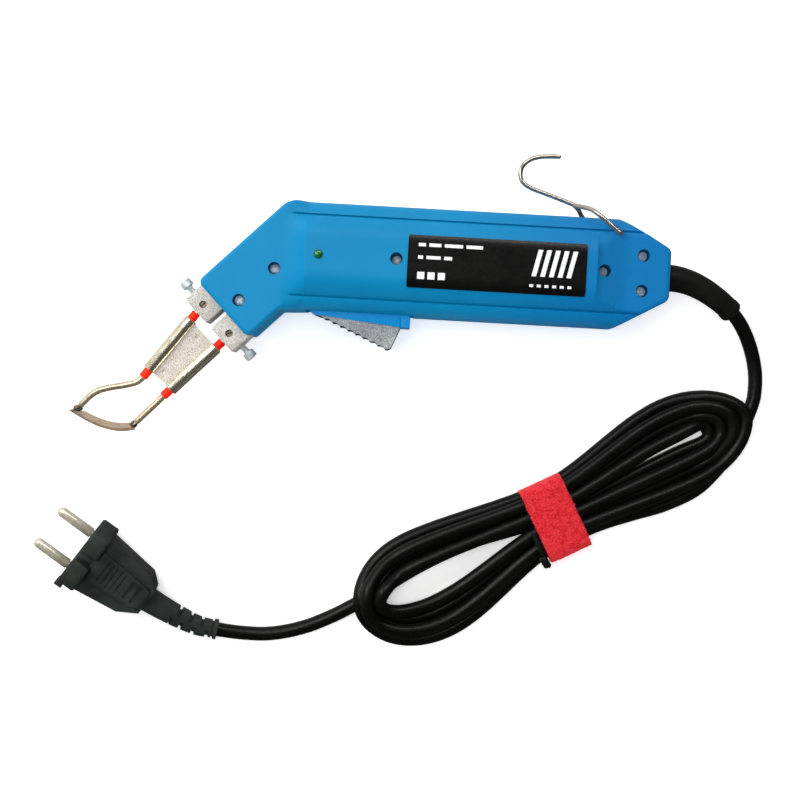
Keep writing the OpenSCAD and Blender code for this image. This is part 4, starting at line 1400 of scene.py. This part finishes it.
def sleeve(name, a, b):
    start, end = between(a, b, -0.015), between(a, b, 0.998)
    l = (end - start).length
    profile = [(1.62, 0), (1.95, 0), (2.1, 0.18), (2.1, l - 0.18), (1.95, l), (1.62, l)]
    piece = on_rod("sleeve_" + name, start, end, profile)
    for v in piece.data.vertices:
        v.co += v.normal * 0.00006 * noise.noise(v.co * 900)
    piece.data.materials.append(red_sleeve_finish)
    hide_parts("sleeve_" + name)
    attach(piece, "tip")


sleeve("upper", upper_a, upper_b)
sleeve("lower", lower_a, lower_b)


def barrel(a, b):
    """Rolled tube with thin cut ends."""
    start, end = between(a, b, 0.09), between(a, b, 0.878)
    l = (end - start).length
    profile = [(2.2, 0.0), (2.75, 0.0), (2.98, 0.2), (2.98, l - 0.2), (2.75, l), (2.2, l)]
    return on_rod("barrel", start, end, profile, 56)


def web():
    """Sheet between the barrels, with two dimples on its top."""
    ua, ub = between(upper_a, upper_b, 0.094), between(upper_a, upper_b, 0.875)
    la, lb = between(lower_a, lower_b, 0.094), between(lower_a, lower_b, 0.875)
    n, m = 44, 28
    dimples = ((0.12, 0.45, 1.2), (0.87, 0.42, 1.3))
    verts, faces = [], []
    for side in (1, -1):
        for i in range(n + 1):
            for j in range(m + 1):
                u, v = i / n, j / m
                p = ua.lerp(ub, u).lerp(la.lerp(lb, u), v)
                h = 0.5
                for du, dv, r in dimples:
                    q = ua.lerp(ub, du).lerp(la.lerp(lb, du), dv)
                    far = (p - q).length / r
                    if far < 1 and side > 0:
                        h -= 0.75 * (1 - far * far) ** 2
                        h = max(h, -0.3)
                verts.append(Vector((p.x, p.y, mid_z + side * h)) * mm)
    row = m + 1
    top = (n + 1) * row
    for i in range(n):
        for j in range(m):
            a = i * row + j
            faces.append((a, a + 1, a + row + 1, a + row))
            faces.append((top + a, top + a + row, top + a + row + 1, top + a + 1))
    rim = [i * row for i in range(n + 1)] + [n * row + j for j in range(1, row)]
    rim += [i * row + m for i in range(n - 1, -1, -1)] + [j for j in range(m - 1, 0, -1)]
    faces += [(rim[k], rim[(k + 1) % len(rim)], top + rim[(k + 1) % len(rim)], top + rim[k])
              for k in range(len(rim))]
    piece = make_mesh("web_sheet", verts, faces)
    shade_by_angle(piece)
    return piece


barrels = join("barrels", [barrel(upper_a, upper_b), barrel(lower_a, lower_b)])
barrels.data.materials.append(barrel_finish)
web_sheet = web()
web_sheet.data.materials.append(web_finish)
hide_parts("tip_bracket")
for piece in (barrels, web_sheet):
    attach(piece, "tip")

# %% [markdown]
# ## Trigger
# The trigger is a blue carrier that hinges behind the slot, with a grained rubber pad under it. The
# pad's lower edge is scalloped for the finger: a row of small arches, worked out by a sine. Its top
# and bottom are grey from the grain; its rim is nearly black.

# %% Carrier
carrier_outline = [(-64, -19.5), (-64, -25), (-62, -26.2), (-22.5, -30), (-18.3, -30), (-18.3, -19.5)]
carrier = slab("carrier", carrier_outline[::-1], mid_z - 8, mid_z + 8)
tidy_mesh(carrier.data)
for low, high in (((-52, -24, mid_z - 6), (-46, -14, mid_z + 6)),
                  ((-34, -25, mid_z - 6), (-21, -13, mid_z + 6))):
    cut(carrier, moved(box("pocket", low, high), to_metres))
cut(carrier, turned_rod("pin_hole", [(1.55, 0), (1.55, 40)], (-61, -21, 0)))
# A step across the top marks the end stop
rib_tool = moved(box("step", (-22.9, -31, mid_z + 7.6), (-22.3, -25.8, mid_z + 9)),
                 to_metres)
cut(carrier, rib_tool)
bevelled(carrier, 0.45 * mm, 3, 40)
carrier.data.materials.append(blue_trigger_finish)
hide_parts("trigger_carrier")
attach(carrier, "trigger")

# %% Pad
pad_front = Vector((-61, -26.4))
pad_tip = Vector((-29, -40.3))
scallops = 9


def pad_edge(u):
    along = (pad_tip - pad_front).normalized()
    inward = Vector((-along.y, along.x))
    return pad_front.lerp(pad_tip, u) + inward * 0.75 * abs(math.sin(math.pi * scallops * u)) * min(1, 8 * u)


pad_outline = [tuple(pad_edge(k / (scallops * 8))) for k in range(scallops * 8 + 1)]
pad_outline += [(-28.1, -40.4), (-27.2, -40.0), (-26.6, -39.5), (-26.3, -39.0), (-22.7, -30.25),
                (-23.2, -29.8), (-61.0, -26.25)]
pad = slab("trigger_grip", pad_outline, mid_z - 7.5, mid_z + 7.5)
bevelled(pad, 0.7 * mm, 3, 60)
pad.data.materials.append(pad_finish)
pad.data.materials.append(pad_rim_finish)
for face in pad.data.polygons:
    face.material_index = 0 if abs(face.normal.z) > 0.93 else 1
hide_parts("trigger_pad")
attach(pad, "trigger")

# %% [markdown]
# ## Hanging hook
# One piece of spring wire: a curl at the free end, a shank, and a fork whose two legs grip the case
# from both sides. Each part is a tube swept along a smooth curve, with a domed end where it is cut.

# %% Hook
wire_r = 1.05
hook_wire = [(46.5, 53.05, 0), (41.5, 52.85, 0), (37, 52.35, 0), (32.5, 50.7, 0), (29.4, 47.5, 0),
             (28.7, 43.8, 0),
             (30, 40.4, 0), (33.8, 37.9, 0), (42, 35.2, 0), (50, 32.6, 0), (55.5, 30.6, 0.4)]
leg_h = 15.8


def hook_leg(s):
    return [(54, 31.2, 0), (57, 29.7, s * 5), (59, 28.4, s * 11), (61, 27, s * 14.6), (64, 24.7, s * leg_h),
            (69, 21, s * leg_h), (73.2, 17.7, s * leg_h)]


def wire(name, points, round_start=False):
    path = [(p + Vector((0, 0, mid_z))) * mm for p in catmull(points, 0.7)]
    radii = [wire_r * mm] * len(path)
    if round_start:
        first = path[0] - (path[1] - path[0]).normalized() * 0.5 * mm
        path = [first, path[0] - (path[1] - path[0]).normalized() * 0.2 * mm] + path
        radii = [0.35 * mm, 0.75 * mm] + radii
    return tube_mesh(name, path, radii, 16)


def hook_pin(s):
    """The leg's end turns down into its hole in the case, with a small bend radius."""
    bend = [(73.2, 17.7, s * leg_h), (73.9, 17.2, s * (leg_h - 0.1)), (74.15, 17.03, s * (leg_h - 0.6)),
            (74.2, 17, s * (leg_h - 1.4)), (74.2, 17, s * 11.4)]
    return wire("pin", bend)


hook = join("hook_wire", [wire("curl", hook_wire, True)] + [wire("leg", hook_leg(s)) for s in (1, -1)]
            + [hook_pin(s) for s in (1, -1)])
hook.data.materials.append(chrome_finish)
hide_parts("hanging_hook")
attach(hook, "hook")

# %% [markdown]
# ## Rubber sleeve at the cord entry
# A tapered sleeve keeps the cord from kinking. Its radius runs down along a bent path; a flange sits
# against the case and a low collar finishes the far end.

# %% Sleeve
relief_path = [(91, 0, 19), (94, 0, 19), (97.6, 0, 19), (99.2, 0, 19), (104, -0.4, 19), (110, -1.8, 18.4),
               (116, -4.2, 17.5),
               (121.5, -7.2, 16.3), (126.5, -10.4, 14.8), (131, -13.8, 13)]
boot_line = catmull(relief_path, 0.5)


def boot_radius(x):
    if x < 94:
        return 6.9
    if x < 97.65:
        return 5.3
    if x < 99.2:
        return 6.75
    taper = mix(6.2, 5.0, (x - 99.2) / (131 - 99.2))
    collar = 0.28 if x > 128.3 else 0.0
    return taper + collar - (0.45 if x > 130.7 else 0.0)


boot = tube_mesh("cord_sleeve", [p * mm for p in boot_line], [boot_radius(p.x) * mm for p in boot_line], 40)
boot.data.materials.append(boot_finish)
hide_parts("strain_relief")
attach(boot, "housing")
print("boot rings:", len(boot_line))

# %% [markdown]
# ## Plug
# A flat two-pin plug with a round face in two lobes. It is made in its own axes, the face at zero and
# the cord along +X, and then turned and tilted into place. The body is an outline with bevelled
# edges, the grip panel is a second, smaller one with ribs, and the notched tail is a swept tube whose
# radius drops to a core inside each notch, first on one side and then on the other.

# %% Plug axes
plug_place = (Matrix.Translation(Vector((-164.9, -140.3, 15.2)) * mm)
              @ Matrix.Rotation(math.radians(145.5), 4, "Z")
              @ Matrix.Rotation(math.radians(-7), 4, "Y") @ Matrix.Rotation(math.pi, 4, "Z")
              @ to_metres)
plug_r = 17.6
disc_t = 9.0
disc_half = 13.0


def plug_slab(name, outline, z0, z1, bevel_w, cuts=()):
    piece = extrude(name, outline, z0, z1)
    for tool in cuts:
        cut(piece, tool)
    return bevelled(piece, bevel_w, 3, 30)


# %% Pin face in two lobes
def face_lobes():
    """The face's outline in the YZ plane: a circle with flat top and bottom and a channel in both."""
    top = math.degrees(math.asin(disc_half / plug_r))
    right = [(plug_r * math.cos(math.radians(a)), plug_r * math.sin(math.radians(a)))
             for a in [-top + 2 * top * k / 20 for k in range(21)]]
    channel = [(2.4, disc_half), (1.9, 5.5), (-1.9, 5.5), (-2.4, disc_half)]
    outline = right + channel + [(-y, z) for y, z in reversed(right)] + [(-y, -z) for y, z in channel]
    piece = extrude("lobes", outline, 0, disc_t)
    moved(piece, Matrix(((0, 0, 1, 0), (1, 0, 0, 0), (0, 1, 0, 0), (0, 0, 0, 1))))
    tidy_mesh(piece.data)
    bevelled(piece, 1.3, 4, 30)
    tab = box("tab", (-0.4, -18.7, -3.4), (3.6, -16.2, 6.4))
    bevelled(tab, 0.5, 2)
    return [piece, tab]


# %% Grip panel and body
body_outline = [(disc_t - 1, -14.8), (30, -11.8), (39, -6.4), (39, 6.4), (33.5, 10.8), (disc_t - 1, 13.8)]


def grip_panel(side):
    """Raised panel with five fine ribs and two wide slots; one on each face."""
    outline = [(9.6, -8.2), (33.5, -6.2), (37.6, -4.4), (37.6, 4.4), (33.5, 5.8), (9.6, 7.4)]
    parts = [box("g", (x, -5.4, 9.05), (x + 0.7, 5.0, 12)) for x in (14.2, 16.6, 19.0, 21.4, 23.8)]
    parts += [box("g", (x, -4.4, 8.7), (x + 1.9, 4.2, 12)) for x in (28.2, 32.0)]
    piece = plug_slab("panel", outline, 8.0, 9.7, 0.28, parts)
    if side < 0:
        moved(piece, Matrix.Diagonal((1, 1, -1, 1)))
    return piece


def notched_tail():
    """The bending relief, in the row frame in millimetres."""
    line = catmull([(-134.6, -161.4, 10.8), (-129.6, -164.6, 9.7), (-119.6, -170, 7.7), (-110, -174.2, 5.9),
                    (-101, -175.8, 4.6)], 0.22)
    total = path_length(line)
    sides = 40
    verts, faces = [], []
    gone = 0.0
    for i, p in enumerate(line):
        d = (line[min(i + 1, len(line) - 1)] - line[max(i - 1, 0)]).normalized()
        side = Vector((0, 0, 1)).cross(d).normalized()
        up = d.cross(side)
        if i:
            gone += (p - line[i - 1]).length
        outer = mix(6.1, 4.35, gone / total)
        if gone > total - 1.9:
            outer = 4.95
        for k in range(sides):
            a = 2 * math.pi * k / sides
            c, s = math.cos(a), math.sin(a)
            r = outer / (abs(c) ** 3.2 + abs(s) ** 3.2) ** (1 / 3.2) * 0.93
            step = 6.1
            from_end = total - 2.6 - gone
            for which in (0, 1):
                phase = (from_end - 1.2 - which * step / 2) % step
                inside = phase < 1.5 and from_end > 0 and from_end < 3.25 * step
                if inside and (c > 0.28 if which else c < -0.28):
                    r = min(r, 3.5)
            if total - 2.6 < gone < total - 1.9:
                r = min(r, 3.7)
            verts.append(p + r * (c * side + s * up))
    for i in range(len(line) - 1):
        for k in range(sides):
            j = (k + 1) % sides
            faces.append((i * sides + k, i * sides + j, (i + 1) * sides + j, (i + 1) * sides + k))
    faces += [tuple(range(sides - 1, -1, -1)), tuple((len(line) - 1) * sides + k for k in range(sides))]
    piece = make_mesh("tail", verts, faces)
    shade_by_angle(piece, 40)
    return moved(piece, to_metres)


def small_pits():
    """Blind moulding holes along the neck."""
    return [lathe("pit", [(0.55, 7.2), (0.55, 12)], (x, y, 0), (0, 0, 1), 12) for x,
            y in ((36.4, 5.3), (36.6, -5.3))]


body = plug_slab("body", body_outline, -8.5, 8.5, 1.5, small_pits())
plug_parts = [moved(piece, plug_place) for piece in [*face_lobes(), body, grip_panel(1), grip_panel(-1)]]
plug = join("plug_shell", plug_parts + [notched_tail()])
plug.data.materials.append(plug_finish)
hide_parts("plug_body")
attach(plug, "housing")

# %% Plug pins
pins = []
for s in (-1, 1):
    tip = [(2.4 * math.cos(math.radians(a)), 16.8 + 2.2 * math.sin(math.radians(a)))
           for a in (0, 18, 36, 52, 68, 82)]
    profile = [(1.8, -7), (1.8, 0.5), (2.3, 0.5), (2.4, 0.65), *tip, (0.02, 19)]
    pins.append(moved(lathe("pin", profile, (0, s * 9.0, 0), (-1, 0, 0), 40), plug_place))
pins = join("contact_pins", pins)
pins.data.materials.append(pin_finish)
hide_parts("plug_pins")
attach(pins, "housing")
print("plug faces:", len(plug.data.polygons))

# %% [markdown]
# ## The red tie
# The tie is one strap of hook-and-loop fabric wrapped once round the bundle and closed on itself. Its
# middle line goes once round and overlaps on top; the strap is that line given width and a little
# thickness, with a rough nap. Loose loops stand out of it: a node tree sets thousands of small ones.

# %% Strap
tie_width = 20.5
tie_t = 1.25


def arc(v, z, r, a0, a1, steps=7):
    return [(v + r * math.cos(math.radians(mix(a0, a1, k / steps))),
             z + r * math.sin(math.radians(mix(a0, a1, k / steps))))
            for k in range(steps + 1)]


def tie_line():
    """Middle line in the bundle's cross-section: across the top, round, and over itself."""
    r = 4.0
    low, top = 1.0, 13.55
    left, right = -18.4, 16.4
    first = [(11.0, top - 0.05), (6, top + 0.1), (0, top + 0.15), (-6, top + 0.05)]
    loop = arc(left + r, top - r, r, 90, 180) + arc(left + r, low + r, r, 180, 270)
    loop += arc(right - r, low + r, r, 270, 360)
    over = arc(right - r, top + 1.3 - r, r, 0, 90)
    last = [(8, top + 1.4), (2, top + 1.5), (-5, top + 1.5), (-11, top + 1.45), (-14.6, 14.95),
            (-17.3, 14.15), (-18.9, 12.7)]
    return [Vector((v, z, 0)) for v, z in first + loop + over + last]


tie_path = catmull(tie_line(), 0.8)


def tie_strap():
    across = 30
    verts, faces = [], []
    n = len(tie_path)
    for i, p in enumerate(tie_path):
        d = (tie_path[min(i + 1, n - 1)] - tie_path[max(i - 1, 0)]).normalized()
        out = Vector((-d.y, d.x, 0))
        for face_side in (1, -1):
            for j in range(across + 1):
                u = mix(-tie_width / 2, tie_width / 2, j / across)
                ragged = 0.25 * noise.noise(Vector((i * 0.35, 5 * (j > across / 2),
                                                    0))) if j in (0, across) else 0
                nap = 0.22 * noise.noise(Vector((u * 1.1, i * 0.8, face_side * 9)))
                q = p + out * face_side * (tie_t / 2 - 0.12 + nap)
                slack = 0.35 * math.sin(u * 0.32 + i * 0.05)
                verts.append(hank(u + ragged, q.x, max(q.y + slack * (q.y > 8), 0.05)) * mm)
    row = across + 1
    for i in range(n - 1):
        a, b = i * 2 * row, (i + 1) * 2 * row
        for j in range(across):
            faces.append((a + j, a + j + 1, b + j + 1, b + j))
            faces.append((a + row + j, b + row + j, b + row + j + 1, a + row + j + 1))
        faces.append((a, b, b + row, a + row))
        faces.append((a + across, a + row + across, b + row + across, b + across))
    end = (n - 1) * 2 * row
    for j in range(across):
        faces.append((j, row + j, row + j + 1, j + 1))
        faces.append((end + j, end + j + 1, end + row + j + 1, end + row + j))
    piece = make_mesh("tie_strap", verts, faces)
    return piece


strap = tie_strap()
strap.data.materials.append(tie_finish)


# %% Loops standing out of the strap
def loop_seed():
    """One fibre loop: a thin bent strip of three sides, about half a millimetre high."""
    points = [Vector((0.28 * math.cos(a) * mm, 0, 0.42 * math.sin(a) * mm))
              for a in [math.pi * k / 4 for k in range(5)]]
    return tube_mesh("fibre", points, [0.045 * mm] * 5, 3, closed_ends=False)


def nap(name, surface_piece, source, count_per_area, seed, material):
    """Loops spread over a surface with Geometry Nodes, turned every way by a fixed seed."""
    piece = link(name, surface_piece.data.copy())
    piece.data.materials.clear()
    tree = bpy.data.node_groups.new(name + "_nodes", "GeometryNodeTree")
    tree.interface.new_socket("Geometry", in_out="INPUT", socket_type="NodeSocketGeometry")
    density_socket = tree.interface.new_socket("Density", in_out="INPUT", socket_type="NodeSocketFloat")
    tree.interface.new_socket("Geometry", in_out="OUTPUT", socket_type="NodeSocketGeometry")
    n = tree.nodes
    start, end = n.new("NodeGroupInput"), n.new("NodeGroupOutput")
    spread = n.new("GeometryNodeDistributePointsOnFaces")
    spread.inputs["Seed"].default_value = seed
    info = n.new("GeometryNodeObjectInfo")
    info.inputs["Object"].default_value = source
    put = n.new("GeometryNodeInstanceOnPoints")
    spin = n.new("FunctionNodeRandomValue")
    spin.data_type = "FLOAT_VECTOR"
    spin.inputs["Min"].default_value = (-0.5, -0.5, -3.14)
    spin.inputs["Max"].default_value = (0.5, 0.5, 3.14)
    spin.inputs["Seed"].default_value = seed + 1
    turn_by = n.new("GeometryNodeRotateInstances")
    grow = n.new("FunctionNodeRandomValue")
    grow.inputs[2].default_value = 0.6
    grow.inputs[3].default_value = 1.35
    grow.inputs["Seed"].default_value = seed + 2
    real = n.new("GeometryNodeRealizeInstances")
    paint = n.new("GeometryNodeSetMaterial")
    paint.inputs["Material"].default_value = material
    links = tree.links
    links.new(start.outputs["Geometry"], spread.inputs["Mesh"])
    links.new(start.outputs["Density"], spread.inputs["Density"])
    links.new(spread.outputs["Points"], put.inputs["Points"])
    links.new(spread.outputs["Rotation"], put.inputs["Rotation"])
    links.new(info.outputs["Geometry"], put.inputs["Instance"])
    links.new(grow.outputs[1], put.inputs["Scale"])
    links.new(put.outputs["Instances"], turn_by.inputs["Instances"])
    links.new(spin.outputs[0], turn_by.inputs["Rotation"])
    links.new(turn_by.outputs["Instances"], real.inputs["Geometry"])
    links.new(real.outputs["Geometry"], paint.inputs["Geometry"])
    links.new(paint.outputs["Geometry"], end.inputs["Geometry"])
    mod = piece.modifiers.new("nap", "NODES")
    mod.node_group = tree
    mod[density_socket.identifier] = float(count_per_area)
    bake_modifiers(piece)
    bpy.data.objects.remove(source)
    for v in piece.data.vertices:
        v.co.z = max(v.co.z, 0.05 * mm)  # pressed flat under the bundle
    piece.data.shade_smooth()
    print(name, len(piece.data.polygons), "faces")
    return piece


tie_nap = nap("tie_nap", strap, loop_seed(), 1.1e6, 5, lit_tie_fibre_finish)
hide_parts("cord_tie")
for piece in (strap, tie_nap):
    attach(piece, "housing")

# %% [markdown]
# ## Twist tie
# A paper-thin strip of black film with a wire in it holds two runs together beside the red tie.

# %% Twist tie
def flat_band(name, places, half_w, thick, across):
    """A flat strip along a line of (across, height) points of the hank, half_w to each side."""
    line = catmull([(v, z, 0) for v, z in places], 0.5)
    verts, faces = [], []
    for i, p in enumerate(line):
        d = (line[min(i + 1, len(line) - 1)] - line[max(i - 1, 0)]).normalized()
        out = Vector((-d.y, d.x, 0)) * thick / 2
        for side_u, face in ((-1, 1), (-0.8, 1.25), (0, 0.85), (0.8, 1.25), (1, 1), (1, -1), (-1, -1)):
            q = p + out * face
            verts.append(hank(across + side_u * half_w, q.x, q.y) * mm)
    for i in range(len(line) - 1):
        faces += [(i * 7 + j, i * 7 + (j + 1) % 7, i * 7 + 7 + (j + 1) % 7, i * 7 + 7 + j) for j in range(7)]
    end = (len(line) - 1) * 7
    faces += [tuple(range(6, -1, -1)), tuple(end + j for j in range(7))]
    return make_mesh(name, verts, faces)


def twisted_end(name, start, end, radius, turns):
    """Two wires twisted round each other."""
    strands = []
    for phase in (0, math.pi):
        points = []
        for k in range(41):
            a = phase + turns * math.tau * k / 40
            middle = Vector(start).lerp(Vector(end), k / 40)
            points.append(hank(middle.x + radius * math.cos(a), middle.y,
                               middle.z + radius * math.sin(a)) * mm)
        strands.append(tube_mesh(name, points, [radius * 1.05 * mm] * 41, 10))
    return join(name, strands)


twist_band = flat_band("twist_band", [(-3, 13.35), (-8, 13.45), (-13, 13.4), (-16.2, 12.6), (-17.6, 9.5),
                                      (-17.7, 6)], 1.2, 0.7, -12.4)
twist_knot = twisted_end("twist_knot", (-13.2, -15.5, 14.1), (-12.6, -20.3, 10.6), 0.95, 1.75)
twist = join("twist_wire", [twist_band, twist_knot])
twist.data.materials.append(boot_finish)
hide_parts("twist_tie")
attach(twist, "housing")

# %% [markdown]
# ## What stays as the frame drew it
# The parts inside the case keep their frame shapes and only get their finishes.

# %% Finishes of the inner parts
inner_finishes = {
    "lamp_board": board_finish, "trigger_pin": zinc_finish, "trigger_spring": zinc_finish,
    "switch_body": inner_plastic_finish, "switch_plunger": red_plastic_finish,
    "transformer_core": core_finish, "transformer_coil": copper_finish,
    "secondary_bar_a": copper_finish, "secondary_bar_b": copper_finish, "inner_wires": plug_finish,
    "cord_clamp": inner_plastic_finish, "cord_clamp_screws": zinc_finish}
for name, finish in inner_finishes.items():
    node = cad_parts[name]
    if not node.material_slots:
        node.data.materials.append(finish)
    for entry in node.material_slots:
        entry.material = finish
print(len(inner_finishes), "frame nodes finished")

# %% [markdown]
# ## The cord's finish
# The cord gets its rubber finish, stands in for the frame's cord pieces and moves with the housing.

mains_cord.data.materials.append(cord_finish)
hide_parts("cord_lead", "cord_hank", "cord_tail")
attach(mains_cord, "housing")
